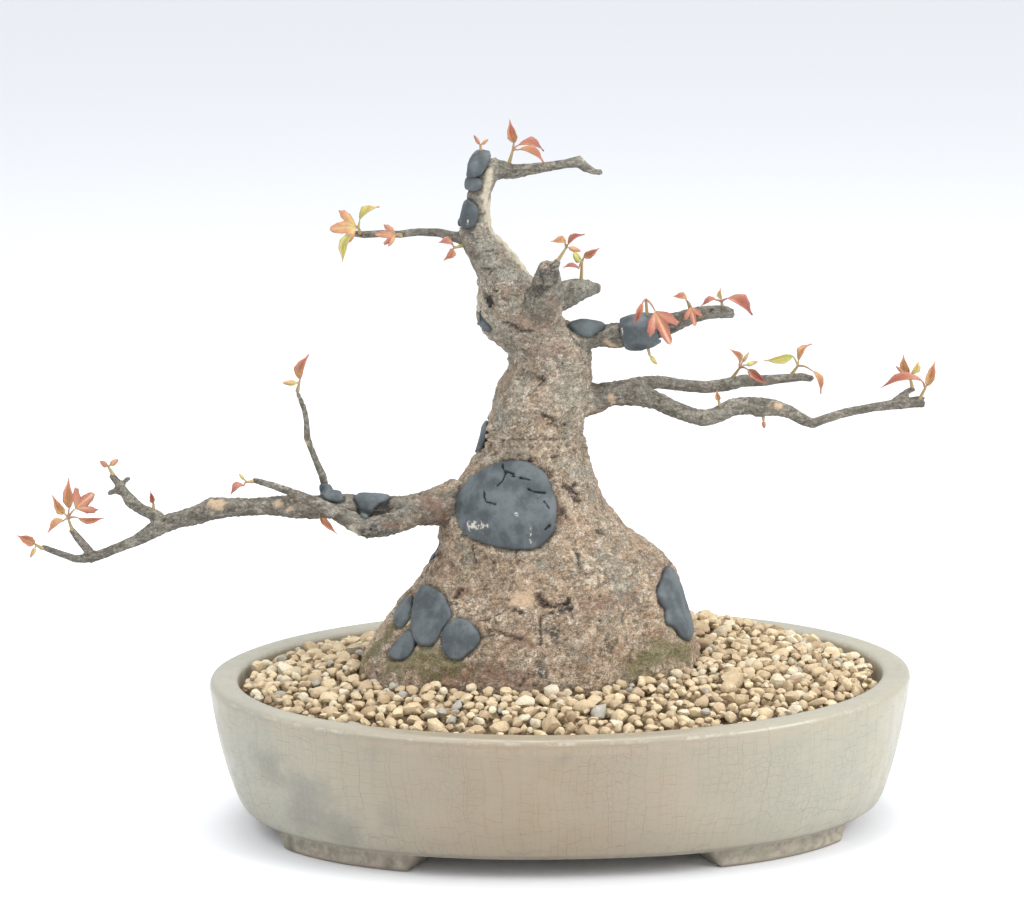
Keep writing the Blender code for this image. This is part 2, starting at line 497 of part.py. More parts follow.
def pot_squareness(z):
    """The outline is a plain ellipse at the rim and a little squarer at the foot."""
    return 2.25 - 0.25 * smooth_step(FOOT_TOP, RIM_TOP, z)


def pot_inside(gap=0.0, top=None):
    """Rings of the inside wall from the floor up, drawn in by gap."""
    rings = []
    inner = (RIM[0] - RIM_WIDTH, RIM[1] - RIM_WIDTH)
    for z, shrink in ((FLOOR_TOP, 10.5), (FLOOR_TOP + 3.0, 6.5), (26.0, 3.0), (37.0, 0.8),
                      (top or RIM_TOP - 1.0, 0.0)):
        height = z + (gap if z == FLOOR_TOP else 0.0)
        rings.append(pot_outline(height, inner[0] - shrink - gap, inner[1] - shrink - gap,
                                 pot_squareness(z)))
    return rings


def build_foot(parent, quarter):
    """One of four feet, a curved block under the edge of the pot with slanted ends."""
    shape = bmesh.new()
    steps = 6
    top = FOOT_TOP + 2.5
    rows = []
    for k in range(steps + 1):
        share = k / steps
        row = []
        for z, out, spread in ((0.0, 0.0, 0.0), (FOOT_TOP - 0.8, 0.6, 0.8), (top, 0.2, 1.0)):
            start = FOOT_ARC[0] - FOOT_SPREAD * spread
            end = FOOT_ARC[1] + FOOT_SPREAD * spread
            degrees = start + (end - start) * share
            row.append(Vector((*oval(FOOT[0] + out, FOOT[1] + out, 2.25, degrees), z)))
        for z, spread in ((top, 1.0), (0.0, 0.0)):
            start = FOOT_ARC[0] - FOOT_SPREAD * spread
            end = FOOT_ARC[1] + FOOT_SPREAD * spread
            degrees = start + (end - start) * share
            row.append(Vector((*oval(FOOT[0] - FOOT_WIDTH, FOOT[1] - FOOT_WIDTH, 2.25, degrees), z)))
        rows.append(row)
    loft(shape, rows)
    flip = Matrix.Diagonal((1.0 if quarter in (0, 3) else -1.0, 1.0 if quarter in (0, 1) else -1.0, 1.0))
    bmesh.ops.transform(shape, matrix=flip.to_4x4(), verts=shape.verts)
    bmesh.ops.recalc_face_normals(shape, faces=shape.faces)
    return add_object("foot_%d" % quarter, shape, "pot", parent)


def build_pot(parent):
    """The oval pot: outer wall, rounded rim, inside, four feet and two drainage holes."""
    shape = bmesh.new()
    outer = ((FOOT_TOP, 11.0, 12.5), (FOOT_TOP + 1.6, 9.2, 10.6), (10.0, 8.2, 9.2), (15.0, 6.2, 7.0),
             (22.0, 3.8, 4.0), (32.0, 1.6, 1.6), (41.0, 0.1, 0.1), (RIM_TOP - 0.8, 0.2, 0.2),
             (RIM_TOP, 1.5, 1.5), (RIM_TOP, RIM_WIDTH - 1.4, RIM_WIDTH - 1.4))
    rings = [pot_outline(z, RIM[0] - in_x, RIM[1] - in_y, pot_squareness(z)) for z, in_x, in_y in outer]
    rings += list(reversed(pot_inside()))
    loft(shape, rings)
    pot = add_object("pot", shape, "pot", parent, crease=35.0)
    boolean(pot, [build_foot(parent, quarter) for quarter in range(4)], "UNION")
    drains = []
    for x in (-DRAIN_X, DRAIN_X):
        drain = bmesh.new()
        bmesh.ops.create_cone(drain, cap_ends=True, segments=20, radius1=DRAIN_RADIUS,
                              radius2=DRAIN_RADIUS, depth=30.0)
        bmesh.ops.translate(drain, vec=(x, 0.0, FLOOR_TOP - 5.0), verts=drain.verts)
        drains.append(add_object("drain_hole", drain, "pot", parent))
    boolean(pot, drains, "DIFFERENCE")
    weld(pot)
    return pot


def box(low, high):
    shape = bmesh.new()
    bmesh.ops.create_cube(shape, size=1.0)
    size = [b - a for a, b in zip(low, high)]
    middle = [(a + b) / 2.0 for a, b in zip(low, high)]
    bmesh.ops.scale(shape, vec=size, verts=shape.verts)
    bmesh.ops.translate(shape, vec=middle, verts=shape.verts)
    return shape


def screen_half():
    return (SCREEN_HOLES * SCREEN_PITCH + SCREEN_BAR) / 2.0


def build_screen(parent, name, x):
    """A square of plastic screen that keeps the soil in over a drainage hole."""
    half = screen_half()
    low = FLOOR_TOP + CLEAR
    screen = add_object(name, box((x - half, -half, low), (x + half, half, low + SCREEN_THICK)),
                        "screen", parent)
    holes = []
    side = (SCREEN_PITCH - SCREEN_BAR) / 2.0
    for i in range(SCREEN_HOLES):
        for j in range(SCREEN_HOLES):
            px = x + (i - (SCREEN_HOLES - 1) / 2.0) * SCREEN_PITCH
            py = (j - (SCREEN_HOLES - 1) / 2.0) * SCREEN_PITCH
            hole = box((px - side, py - side, low - 1.0), (px + side, py + side, low + SCREEN_THICK + 1.0))
            holes.append(add_object("screen_hole", hole, "screen", parent))
    boolean(screen, holes, "DIFFERENCE")
    return screen


def build_clip(parent, name, x):
    """A wire staple: over the screen, down through the drainage hole, and bent out below it."""
    over = FLOOR_TOP + 2.0 * CLEAR + SCREEN_THICK + WIRE
    under = FOOT_TOP - CLEAR - WIRE
    leg = SCREEN_PITCH
    bend = 1.4
    right = [(0.0, over), (leg - bend, over), (leg - 0.4, over - 0.4), (leg, over - bend),
             (leg, under + bend), (leg + 0.4, under + 0.4), (leg + bend, under), (leg + 7.0, under)]
    left = [(-px, pz) for px, pz in reversed(right[1:])]
    shape = bmesh.new()
    tube(shape, [(x + px, 0.0, pz, WIRE) for px, pz in left + right], 6)
    return add_object(name, shape, "wire", parent)


def soil_height(x, y):
    """The mound: low at the rim, high at the trunk, with a heap at the back right."""
    away = (x / (RIM[0] - RIM_WIDTH)) ** 2 + (y / (RIM[1] - RIM_WIDTH)) ** 2
    heap = 4.0 * math.exp(-((x - 45.0) / 26.0) ** 2 - ((y - 36.0) / 18.0) ** 2)
    return SOIL_EDGE + SOIL_RISE * max(0.0, 1.0 - away) + heap


def grain_surface():
    """A sheet of jittered six-sided grains: a raised middle, a shoulder and a low shared edge."""
    draw = random.Random(GRAIN_SEED)
    rows = 2 * math.ceil((RIM[1] - RIM_WIDTH) / (GRAIN_PITCH * 0.866)) + 3
    columns = 2 * math.ceil((RIM[0] - RIM_WIDTH) / GRAIN_PITCH) + 3
    seeds = {}
    for j in range(rows):
        for i in range(columns):
            x = (i - (columns - 1) / 2.0 + 0.5 * (j % 2)) * GRAIN_PITCH
            y = (j - (rows - 1) / 2.0) * GRAIN_PITCH * 0.866
            seeds[i, j] = Vector((x + draw.uniform(-GRAIN_SHIFT, GRAIN_SHIFT),
                                   y + draw.uniform(-GRAIN_SHIFT, GRAIN_SHIFT)))
    shape = bmesh.new()
    corners = {}

    def corner(keys):
        key = tuple(sorted(keys))
        if key not in corners:
            middle = sum((seeds[k] for k in key), Vector((0.0, 0.0))) / 3.0
            low = GRAIN_LOW + draw.uniform(-0.3, 0.3)
            corners[key] = shape.verts.new((middle.x, middle.y, soil_height(*middle) + low))
        return corners[key]

    for j in range(1, rows - 1):
        for i in range(1, columns - 1):
            step = j % 2
            round_about = [(i + 1, j), (i + step, j + 1), (i + step - 1, j + 1), (i - 1, j),
                           (i + step - 1, j - 1), (i + step, j - 1)]
            high = GRAIN_HIGH * draw.uniform(0.5, 1.15)
            share = draw.uniform(0.52, 0.66)
            centre = seeds[i, j]
            top = shape.verts.new((centre.x, centre.y, soil_height(*centre) + high))
            edge = [corner(((i, j), round_about[k], round_about[(k + 1) % 6])) for k in range(6)]
            shoulder = []
            for vert in edge:
                flat = centre.lerp(Vector((vert.co.x, vert.co.y)), share)
                shoulder.append(shape.verts.new((flat.x, flat.y, soil_height(*flat) + 0.62 * high)))
            for k in range(6):
                n = (k + 1) % 6
                shape.faces.new((top, shoulder[k], shoulder[n]))
                shape.faces.new((shoulder[k], edge[k], edge[n], shoulder[n]))
    return shape


def build_soil(parent):
    """The soil that fills the pot, with plain holes for the trunk and the screens."""
    shape = grain_surface()
    border = [edge for edge in shape.edges if edge.is_boundary]
    skirt = bmesh.ops.extrude_edge_only(shape, edges=border)["geom"]
    low = [part for part in skirt if isinstance(part, bmesh.types.BMVert)]
    for vert in low:
        vert.co.z = 0.0
    bmesh.ops.contextual_create(shape, geom=[part for part in skirt if isinstance(part, bmesh.types.BMEdge)])
    bmesh.ops.recalc_face_normals(shape, faces=shape.faces)
    soil = add_object("soil", shape, "soil", parent, crease=60.0)
    inside = bmesh.new()
    loft(inside, pot_inside(CLEAR, RIM_TOP + 20.0))
    boolean(soil, [add_object("inside", inside, "soil", parent)], "INTERSECT")
    hole = trunk_body(TRUNK_FOOT - CLEAR, 63.0, CLEAR)
    cutters = [add_object("trunk_hole", hole, "soil", parent)]
    half = screen_half() + CLEAR
    ceiling = FLOOR_TOP + 2.0 * CLEAR + SCREEN_THICK
    slot = WIRE + CLEAR
    for x in (-DRAIN_X, DRAIN_X):
        pocket = box((x - half, -half, FLOOR_TOP - 2.0), (x + half, half, ceiling))
        cutters.append(add_object("screen_pocket", pocket, "soil", parent))
        groove = box((x - SCREEN_PITCH - slot - 0.4, -slot, FLOOR_TOP - 1.0),
                     (x + SCREEN_PITCH + slot + 0.4, slot, ceiling + 2.0 * WIRE + CLEAR))
        cutters.append(add_object("wire_groove", groove, "soil", parent))
    boolean(soil, cutters, "DIFFERENCE")
    weld(soil, 0.0)
    return soil


def search_tree(items):
    """One tree of faces of several objects, in millimetres, to find the surface with."""
    points, faces = [], []
    for item in items:
        start = len(points)
        points += [vert.co / MM for vert in item.data.vertices]
        faces += [[start + index for index in face.vertices] for face in item.data.polygons]
    return BVHTree.FromPolygons(points, faces)


def trunk_surface():
    """The trunk alone, without its branches, as the search tree that the pats of putty lie on."""
    shape = trunk_body(TRUNK_FOOT, TRUNK[-1][0])
    surface = BVHTree.FromBMesh(shape)
    shape.free()
    return surface


def outermost(surface, start, out, reach=60.0):
    """How far from start, along out, the surface's outer side lies."""
    hit = surface.ray_cast(start + out * reach, -out, reach)
    return reach - hit[3] if hit[0] else None


def disc_layout(rings, sides):
    """Spots of a round pat, from its middle out, with the faces between them and its edge."""
    spots = [(0.0, 0.0, 0.0)]
    for ring in range(1, rings + 1):
        share = math.sin(0.5 * math.pi * ring / rings)
        spots += [(share * math.cos(math.tau * k / sides), share * math.sin(math.tau * k / sides),
                   ring / rings) for k in range(sides)]
    faces = []
    for k in range(sides):
        n = (k + 1) % sides
        faces.append((0, 1 + k, 1 + n))
        for ring in range(rings - 1):
            a, b = 1 + ring * sides, 1 + (ring + 1) * sides
            faces.append((a + k, b + k, b + n, a + n))
    rim = 1 + (rings - 1) * sides
    return spots, faces, [rim + k for k in range(sides)]


def strip_layout(columns, rows):
    """Spots of a strip of putty that wraps a branch, with drawn-in corners."""
    spots, faces = [], []
    for j in range(rows + 1):
        for i in range(columns + 1):
            u, v = 2.0 * i / columns - 1.0, 2.0 * j / rows - 1.0
            edge = max(abs(u), abs(v))
            spots.append((u * math.sqrt(1.0 - 0.3 * v * v), v * math.sqrt(1.0 - 0.3 * u * u), edge))
    wide = columns + 1
    for j in range(rows):
        for i in range(columns):
            a = j * wide + i
            faces.append((a, a + 1, a + 1 + wide, a + wide))
    rim = list(range(wide)) + [j * wide + columns for j in range(1, rows + 1)]
    rim += [rows * wide + i for i in range(columns - 1, -1, -1)] + [j * wide for j in range(rows - 1, 0, -1)]
    return spots, faces, rim


def putty(parent, name, surface, aim, layout, thick, cell, reach=60.0):
    """Putty pressed on the bark: aim(u, v) gives the start and outward direction of a ray."""
    spots, faces, rim = layout
    seed = len(name) * 1.7
    under, over = [], []
    for u, v, edge in spots:
        ragged = 1.0 + 0.09 * edge * noise.noise(Vector((u * 1.6, v * 1.6, seed)))
        u, v = u * ragged, v * ragged
        found = []
        for du, dv in ((0, 0), (cell, 0), (-cell, 0), (0, cell), (0, -cell)):
            start, out = aim(u + du, v + dv)
            away = outermost(surface, start, out, reach)
            if away is not None:
                found.append(away)
        start, out = aim(u, v)
        base = (max(found) if found else 2.0) + CLEAR + 0.1
        dome = math.sqrt(max(0.0, 1.0 - edge * edge))
        lump = 0.25 * noise.noise(Vector((u * 2.3, v * 2.3, seed + 4.0)))
        under.append(start + out * base)
        over.append(start + out * (base + 0.7 + (thick - 0.7) * dome + lump))
    shape = bmesh.new()
    low = [shape.verts.new(point) for point in under]
    high = [shape.verts.new(point) for point in over]
    for face in faces:
        shape.faces.new([low[k] for k in face])
        shape.faces.new([high[k] for k in reversed(face)])
    for k, n in zip(rim, rim[1:] + rim[:1]):
        shape.faces.new((low[n], low[k], high[k], high[n]))
    bmesh.ops.recalc_face_normals(shape, faces=shape.faces)
    return add_object(name, shape, "putty", parent, crease=60.0)


def build_patches(parent, trunk, surface):
    """Dark wound putty over the old cuts on the trunk and the branches."""
    made = []
    for name, (target, facing, half_angle, half_height, thick, rings, sides) in PATCHES.items():
        out = Vector(facing).normalized()
        level = Vector((out.x, out.y, 0.0)).normalized()

        def aim(u, v, target=target, out=out, level=level, half_angle=half_angle, half_height=half_height):
            turned = Matrix.Rotation(math.radians(u * half_angle), 3, "Z") @ out
            up = Vector((0.0, 0.0, 1.0)) - level * out.z
            return Vector(target) + up * v * half_height, turned

        made.append(putty(parent, name, trunk, aim, disc_layout(rings, sides), thick, 0.3 / rings))
    centre, facing, half_angle, thick = CAP
    out = Vector(facing).normalized()
    across = out.orthogonal().normalized()
    along = out.cross(across)

    def aim_cap(u, v):
        turn = Matrix.Rotation(math.radians(half_angle * math.hypot(u, v)), 3,
                               (across * -v + along * u).normalized() if (u or v) else across)
        return Vector(centre), turn @ out

    made.append(putty(parent, "cut_paste_apex", surface, aim_cap, disc_layout(3, 14), thick, 0.16))
    for name, (start, end, facing, half_angle, half_length, thick) in CUFFS.items():
        axis = (Vector(end) - Vector(start)).normalized()
        middle = (Vector(end) + Vector(start)) / 2.0
        out = Vector(facing)
        out = (out - axis * out.dot(axis)).normalized()

        def aim_cuff(u, v, axis=axis, middle=middle, out=out, half_angle=half_angle,
                     half_length=half_length):
            turned = Matrix.Rotation(math.radians(u * half_angle), 3, axis) @ out
            return middle + axis * v * half_length, turned

        columns = max(5, round(half_angle / 13.0))
        made.append(putty(parent, name, surface, aim_cuff, strip_layout(columns, 3), thick, 0.12, 9.0))
    return made


def leaf(parent, name, crown, base, tip, width, outline):
    """A stalk and a young maple blade, folded along its rib, with lobed edges and a slight arch."""
    crown, base, tip = Vector(crown), Vector(base), Vector(tip)
    rib = tip - base
    length = rib.length
    rib.normalize()
    facing = Vector((0.25 * noise.noise(base), -1.0, 0.45))
    facing = (facing - rib * facing.dot(rib)).normalized()
    side = rib.cross(facing)
    fold = FOLD[outline]
    arch = 0.10 * length
    shape = bmesh.new()

    def spot(along, across, lift):
        bow = arch * math.sin(math.pi * along)
        rise = bow + abs(across) * width * fold + lift
        return shape.verts.new(base + rib * along * length + side * across * width + facing * rise)

    def layer(lift):
        rows = [(spot(edge, -half, lift), spot(mid, 0.0, lift), spot(edge, half, lift))
                for mid, edge, half in outline]
        return rows, spot(1.0, 0.0, lift)

    layers = (layer(0.0), layer(BLADE_THICK))
    for upper, (rows, point) in enumerate(layers):
        faces = []
        for low, high in zip(rows, rows[1:]):
            faces += [(low[0], low[1], high[1]), (low[0], high[1], high[0]),
                      (low[1], low[2], high[1]), (low[2], high[2], high[1])]
        last = rows[-1]
        faces += [(last[0], last[1], point), (last[1], last[2], point)]
        for face in faces:
            shape.faces.new(face if upper else face[::-1])
    edges = [[row[0] for row in rows] + [point] + [row[2] for row in reversed(rows)]
             for rows, point in layers]
    for k in range(len(edges[0]) - 1):
        shape.faces.new((edges[0][k], edges[0][k + 1], edges[1][k + 1], edges[1][k]))
    back = (base - crown).normalized() if (base - crown).length > 0.3 else rib
    flat = back.cross(facing).normalized()
    up = flat.cross(back)
    foot = crown + back * 0.12
    half = outline[0][2] * width
    below = [shape.verts.new(foot + flat * across - up * 0.3) for across in (-half, 0.0, half)]
    above = [shape.verts.new(foot + flat * across + up * 0.3) for across in (-half, 0.0, half)]
    start = [*below, *reversed(above)]
    end = [*layers[0][0][0], *reversed(layers[1][0][0])]
    for k in range(6):
        n = (k + 1) % 6
        shape.faces.new((start[k], start[n], end[n], end[k]))
    shape.faces.new(start[::-1])
    bmesh.ops.recalc_face_normals(shape, faces=shape.faces)
    return add_object(name, shape, "leaf", parent)


def stem(parent, name, points, sides):
    shape = bmesh.new()
    tube(shape, points, sides)
    return add_object(name, shape, "leaf", parent)


def build_shoot(parent, name, surface, root, crown, blades):
    """One leafy shoot: a short stem from the twig, a stalk and a blade for each leaf."""
    near, normal, _, distance = surface.find_nearest(Vector(root))
    out = (Vector(root) - near)
    if distance < 0.05 or out.dot(normal) < 0.0:
        out = normal
    crown = Vector(crown)
    out.normalize()
    tilt = out.cross((crown - near).normalized()).length
    start = near + out * (CLEAR + 0.1 + STEM * tilt)
    reach = (crown - start).normalized()
    hub, end = crown + reach * 0.05, crown + reach * 0.8
    stalk = stem(parent, name, [(*start, STEM), (*hub, HUB), (*end, STALK)], 6)
    parts = [leaf(parent, "%s_leaf_%d" % (name, index), crown, *spec) for index, spec in enumerate(blades)]
    boolean(stalk, parts, "UNION")
    weld(stalk, 0.0)
    return stalk


def main():
    for item in list(bpy.data.objects):
        bpy.data.objects.remove(item)
    centre = bpy.data.objects.new("pot_centre", None)
    bpy.context.scene.collection.objects.link(centre)
    centre.location = (POT_X * MM, 0.0, 0.0)
    tree = build_tree(centre)
    build_pot(centre)
    build_soil(centre)
    for side, x in (("left", -DRAIN_X), ("right", DRAIN_X)):
        build_screen(centre, "drain_screen_" + side, x)
        build_clip(centre, "screen_clip_" + side, x)
    patches = build_patches(centre, trunk_surface(), search_tree([tree]))
    surface = search_tree([tree] + patches)
    for name, (root, crown, blades) in SHOOTS.items():
        build_shoot(centre, name, surface, root, crown, blades)


main()
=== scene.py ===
import math
import random

import bpy
import bmesh
import numpy as np
from mathutils import Matrix, Quaternion, Vector, noise
from mathutils.bvhtree import BVHTree


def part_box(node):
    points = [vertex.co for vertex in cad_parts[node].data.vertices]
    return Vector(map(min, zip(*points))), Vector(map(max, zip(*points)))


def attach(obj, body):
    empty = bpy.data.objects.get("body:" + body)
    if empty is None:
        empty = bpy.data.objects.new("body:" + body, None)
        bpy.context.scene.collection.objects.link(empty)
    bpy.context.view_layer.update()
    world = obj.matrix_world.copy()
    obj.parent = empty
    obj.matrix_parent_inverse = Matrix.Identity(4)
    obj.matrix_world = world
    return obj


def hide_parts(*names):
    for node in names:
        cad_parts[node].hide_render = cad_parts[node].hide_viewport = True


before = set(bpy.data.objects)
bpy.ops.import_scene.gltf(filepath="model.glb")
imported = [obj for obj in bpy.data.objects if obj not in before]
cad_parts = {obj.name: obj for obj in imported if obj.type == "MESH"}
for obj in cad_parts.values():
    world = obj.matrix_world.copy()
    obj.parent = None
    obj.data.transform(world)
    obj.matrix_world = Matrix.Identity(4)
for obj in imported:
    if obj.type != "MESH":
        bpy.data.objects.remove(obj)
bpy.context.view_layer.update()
mm = 0.001
potLow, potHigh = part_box("pot")
potX = (potLow.x + potHigh.x) / 2  # the pot stands right of the middle of the whole


# camera, at the angle of the photograph

camera = {"place": (0.0110, -1.07596, 0.33990), "tilt": 78.0, "roll": -0.8, "lens": 130.4}
photoSize = (1024, 911)

lens = bpy.data.cameras.new("photoCamera")
lens.lens = camera["lens"]
lens.sensor_width = 36.0
eye = bpy.data.objects.new("photoCamera", lens)
bpy.context.scene.collection.objects.link(eye)
eye.matrix_world = (Matrix.Translation(camera["place"]) @ Matrix.Rotation(math.radians(camera["tilt"]), 4, "X")
                    @ Matrix.Rotation(math.radians(camera["roll"]), 4, "Z"))
bpy.context.scene.camera = eye


def sightLine(u, v):  # direction of a pixel of the photograph
    focal = camera["lens"] * photoSize[0] / 36.0
    ray = Vector(((u - photoSize[0] / 2) / focal, (photoSize[1] / 2 - v) / focal, -1.0))
    return (eye.matrix_world.to_3x3() @ ray).normalized()


# materials: a socket that takes part in sums, and a material that makes nodes

class Socket:
    def __init__(self, finish, link):
        self.finish, self.link = finish, link

    def sum(self, operation, *others):
        return self.finish.node("Math", {"operation": operation}, dict(enumerate((self, *others))))

    def __add__(self, other):
        return self.sum("ADD", other)

    def __sub__(self, other):
        return self.sum("SUBTRACT", other)

    def __mul__(self, other):
        return self.sum("MULTIPLY", other)

    def __rsub__(self, other):
        return self.finish.node("Math", {"operation": "SUBTRACT"}, {0: other, 1: self})

    def __pow__(self, other):
        return self.sum("POWER", other)

    __radd__ = __add__
    __rmul__ = __mul__

    def between(self, low, high):  # 0 below low, 1 above high
        return self.finish.node("MapRange", {"interpolation_type": "SMOOTHSTEP"},
                                {"Value": self, "From Min": low, "From Max": high})


class Finish:
    def __init__(self, name, **fixed):
        self.material = bpy.data.materials.new(name)
        self.material.use_nodes = True
        self.nodes = self.material.node_tree.nodes
        self.shader = self.nodes["Principled BSDF"]
        self.set(**fixed)
        self.place = self.node("TexCoord", out="Object")

    def feed(self, target, value):
        if isinstance(value, Socket):
            self.material.node_tree.links.new(value.link, target)
        elif isinstance(value, tuple) and len(value) == 3 and target.type == "RGBA":
            target.default_value = (*value, 1.0)
        else:
            target.default_value = value

    def node(self, kind, settings=None, values=None, out=0):
        made = self.nodes.new("ShaderNode" + kind)
        for key, value in (settings or {}).items():
            if key == "stops":
                stops = made.color_ramp.elements
                while len(stops) < len(value):
                    stops.new(0.5)
                for stop, (where, colour) in zip(stops, value):
                    stop.position = where
                    stop.color = (*colour, 1.0)
            else:
                setattr(made, key, value)
        for key, value in (values or {}).items():
            self.feed(made.inputs[key], value)
        return Socket(self, made.outputs[out])

    def set(self, **values):
        for key, value in values.items():
            self.feed(self.shader.inputs[key.replace("_", " ")], value)

    def noise(self, size, detail=3.0, rough=0.55, warp=0.0, stretch=(1.0, 1.0, 1.0)):  # size in mm
        place = self.place
        if stretch != (1.0, 1.0, 1.0):
            place = self.node("Mapping", None, {"Vector": place, "Scale": stretch})
        return self.node("TexNoise", None, {"Vector": place, "Scale": 1.0 / (size * mm), "Detail": detail,
                                            "Roughness": rough, "Distortion": warp})

    def cells(self, size, feature="F1", place=None, out="Distance"):
        return self.node("TexVoronoi", {"feature": feature},
                         {"Vector": place or self.place, "Scale": 1.0 / (size * mm)}, out)

    def mix(self, mask, first, second, blend="MIX"):
        return self.node("Mix", {"data_type": "RGBA", "blend_type": blend}, {0: mask, 6: first, 7: second}, 2)

    def ramp(self, value, *stops):
        return self.node("ValToRGB", {"stops": stops}, {"Fac": value})

    def painted(self, name):  # the four channels of a colour attribute of the piece
        colour = self.node("Attribute", {"attribute_name": name}, out="Color")
        parts = [self.node("SeparateColor", None, {"Color": colour}, k) for k in range(3)]
        return (*parts, self.node("Attribute", {"attribute_name": name}, out="Alpha"))

    def bump(self, *layers):  # each layer: height, strength, distance in mm
        normal = None
        for height, strength, reach in layers:
            values = {"Height": height, "Strength": strength, "Distance": reach * mm}
            if normal:
                values["Normal"] = normal
            normal = self.node("Bump", None, values)
        self.feed(self.shader.inputs["Normal"], normal)


# shape helpers

def smooth(low, high, value):
    share = np.clip((np.asarray(value, float) - low) / (high - low), 0.0, 1.0)
    return share * share * (3.0 - 2.0 * share)


def cadCopy(*nodes):  # a merged copy of CAD nodes
    shape = bmesh.new()
    for node in nodes:
        shape.from_mesh(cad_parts[node].data)
    bmesh.ops.remove_doubles(shape, verts=shape.verts, dist=2e-6)
    return shape


def addPiece(name, shape, finish, slot, *nodes):
    mesh = bpy.data.meshes.new(name)
    if isinstance(shape, bmesh.types.BMesh):
        shape.to_mesh(mesh)
        shape.free()
    else:
        mesh = shape
        mesh.name = name
    mesh.materials.clear()
    mesh.materials.append(finish.material)
    mesh.shade_smooth()
    piece = bpy.data.objects.new(name, mesh)
    bpy.context.scene.collection.objects.link(piece)
    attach(piece, "root")
    if nodes:
        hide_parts(*nodes)
    return piece


def remade(shape, voxel, rounds):  # an even skin over a shape, then smoothed
    mesh = bpy.data.meshes.new("skin")
    shape.to_mesh(mesh)
    shape.free()
    item = bpy.data.objects.new("skin", mesh)
    bpy.context.scene.collection.objects.link(item)
    skin = item.modifiers.new("skin", "REMESH")
    skin.mode = "VOXEL"
    skin.voxel_size = voxel * mm
    if rounds:
        soften = item.modifiers.new("soften", "SMOOTH")
        soften.factor = 0.5
        soften.iterations = rounds
    bpy.context.view_layer.update()
    made = bpy.data.meshes.new_from_object(item.evaluated_get(bpy.context.evaluated_depsgraph_get()))
    bpy.data.objects.remove(item)
    return made


def readPoints(mesh):
    flat = np.empty(len(mesh.vertices) * 3, np.float32)
    mesh.vertices.foreach_get("co", flat)
    points = flat.reshape(-1, 3) / mm
    mesh.vertices.foreach_get("normal", flat)
    return points.astype(float), flat.reshape(-1, 3).astype(float)


def writePoints(mesh, points):
    mesh.vertices.foreach_set("co", (points * mm).astype(np.float32).ravel())
    mesh.update()


def paint(mesh, name, *channels):  # four channels, 0 to 1, as a colour attribute
    layer = mesh.color_attributes.new(name, "FLOAT_COLOR", "POINT")
    count = len(mesh.vertices)
    channels = [np.broadcast_to(channel, count) for channel in channels]
    layer.data.foreach_set("color", np.stack(channels, axis=1).astype(np.float32).ravel())


def surface(mesh):
    return BVHTree.FromPolygons([v.co.copy() for v in mesh.vertices], [p.vertices[:] for p in mesh.polygons])


def onSurface(tree, u, v):  # where the sight line of a pixel meets a surface, in mm
    hit = tree.ray_cast(eye.matrix_world.translation, sightLine(u, v))[0]
    return None if hit is None else np.array(hit) / mm


def nearLine(points, line):  # distance from each point to a broken line
    best = np.full(len(points), 1e9)
    for start, end in zip(line, line[1:] or line):
        along = end - start
        share = np.clip((points - start) @ along / max(along @ along, 1e-9), 0.0, 1.0)
        best = np.minimum(best, np.linalg.norm(points - start - share[:, None] * along, axis=1))
    return best


def marked(tree, points, spots, width, ragged):  # 1 on a mark that is placed by pixels, 0 away from it
    line = [hit for hit in (onSurface(tree, u, v) for u, v in spots) if hit is not None]
    if not line:
        return np.zeros(len(points))
    away = nearLine(points, line) * (1.0 + ragged)
    return 1.0 - smooth(0.55 * width, 1.15 * width, away)


def field(points, size, octaves=3, seed=0.0, stretch=(1.0, 1.0, 1.0)):  # fractal noise, about -1 to 1, size in mm
    scaled = points * (np.array(stretch) / size) + seed
    return np.array([noise.fractal(p, 1.0, 2.0, octaves) for p in scaled.tolist()])


def flakes(points, size, seed=0.0, stretch=(1.0, 1.0, 1.0)):  # loose plates: 0 at their edges, 1 on them, and level
    scaled = points * (np.array(stretch) / size) + seed
    gaps, levels = [], []
    for p in scaled.tolist():
        away, centres = noise.voronoi(p)
        gaps.append(away[1] - away[0])
        levels.append(noise.noise(centres[0] * 5.7))
    return smooth(0.0, 0.25, np.array(gaps)), np.clip(np.array(levels) * 2.2, -1.0, 1.0)


# the tree: a fine skin of the wood, on which the paste and then the bark are laid

bark = {"voxel": 0.76, "lump": 0.75, "wrinkle": 0.42, "flake": 0.36, "fold": 0.62, "grit": 0.20,
        "callus": 0.7, "wrinkledFrom": (104.0, 130.0)}
pixel = 0.29  # mm across one pixel of the photograph, at the trunk
woodMesh = remade(cadCopy("tree"), bark["voxel"], 4)
points, normals = readPoints(woodMesh)
cadTree = BVHTree.FromBMesh(cadCopy("tree"))
thick = np.full(len(points), 60.0)  # how thick the wood is at each point
for k, (point, normal) in enumerate(zip((points - normals * 0.2).tolist(), normals.tolist())):
    distance = cadTree.ray_cast(Vector(point) * mm, -Vector(normal), 0.06)[3]
    if distance:
        thick[k] = distance / mm
woody = smooth(6.0, 22.0, thick)
twiggy = 1.0 - smooth(2.0, 6.0, thick)
for k in np.nonzero(thick < 8.0)[0]:  # twigs go back to their CAD size, which the smoothing has worn down
    near = cadTree.find_nearest(Vector(points[k].tolist()) * mm)[0]
    points[k] += (np.array(near) / mm - points[k]) * float(smooth(8.0, 5.0, thick[k])) * 0.9
stubRoot, stubTip = (onSurface(cadTree, *spot) for spot in ((572, 294), (597, 290)))  # its end is blunt and pointed
axis = (stubTip - stubRoot) / np.linalg.norm(stubTip - stubRoot)
onward = (points - stubRoot) @ axis
aside = points - stubRoot - onward[:, None] * axis - np.array((0.0, 4.0, 0.0))
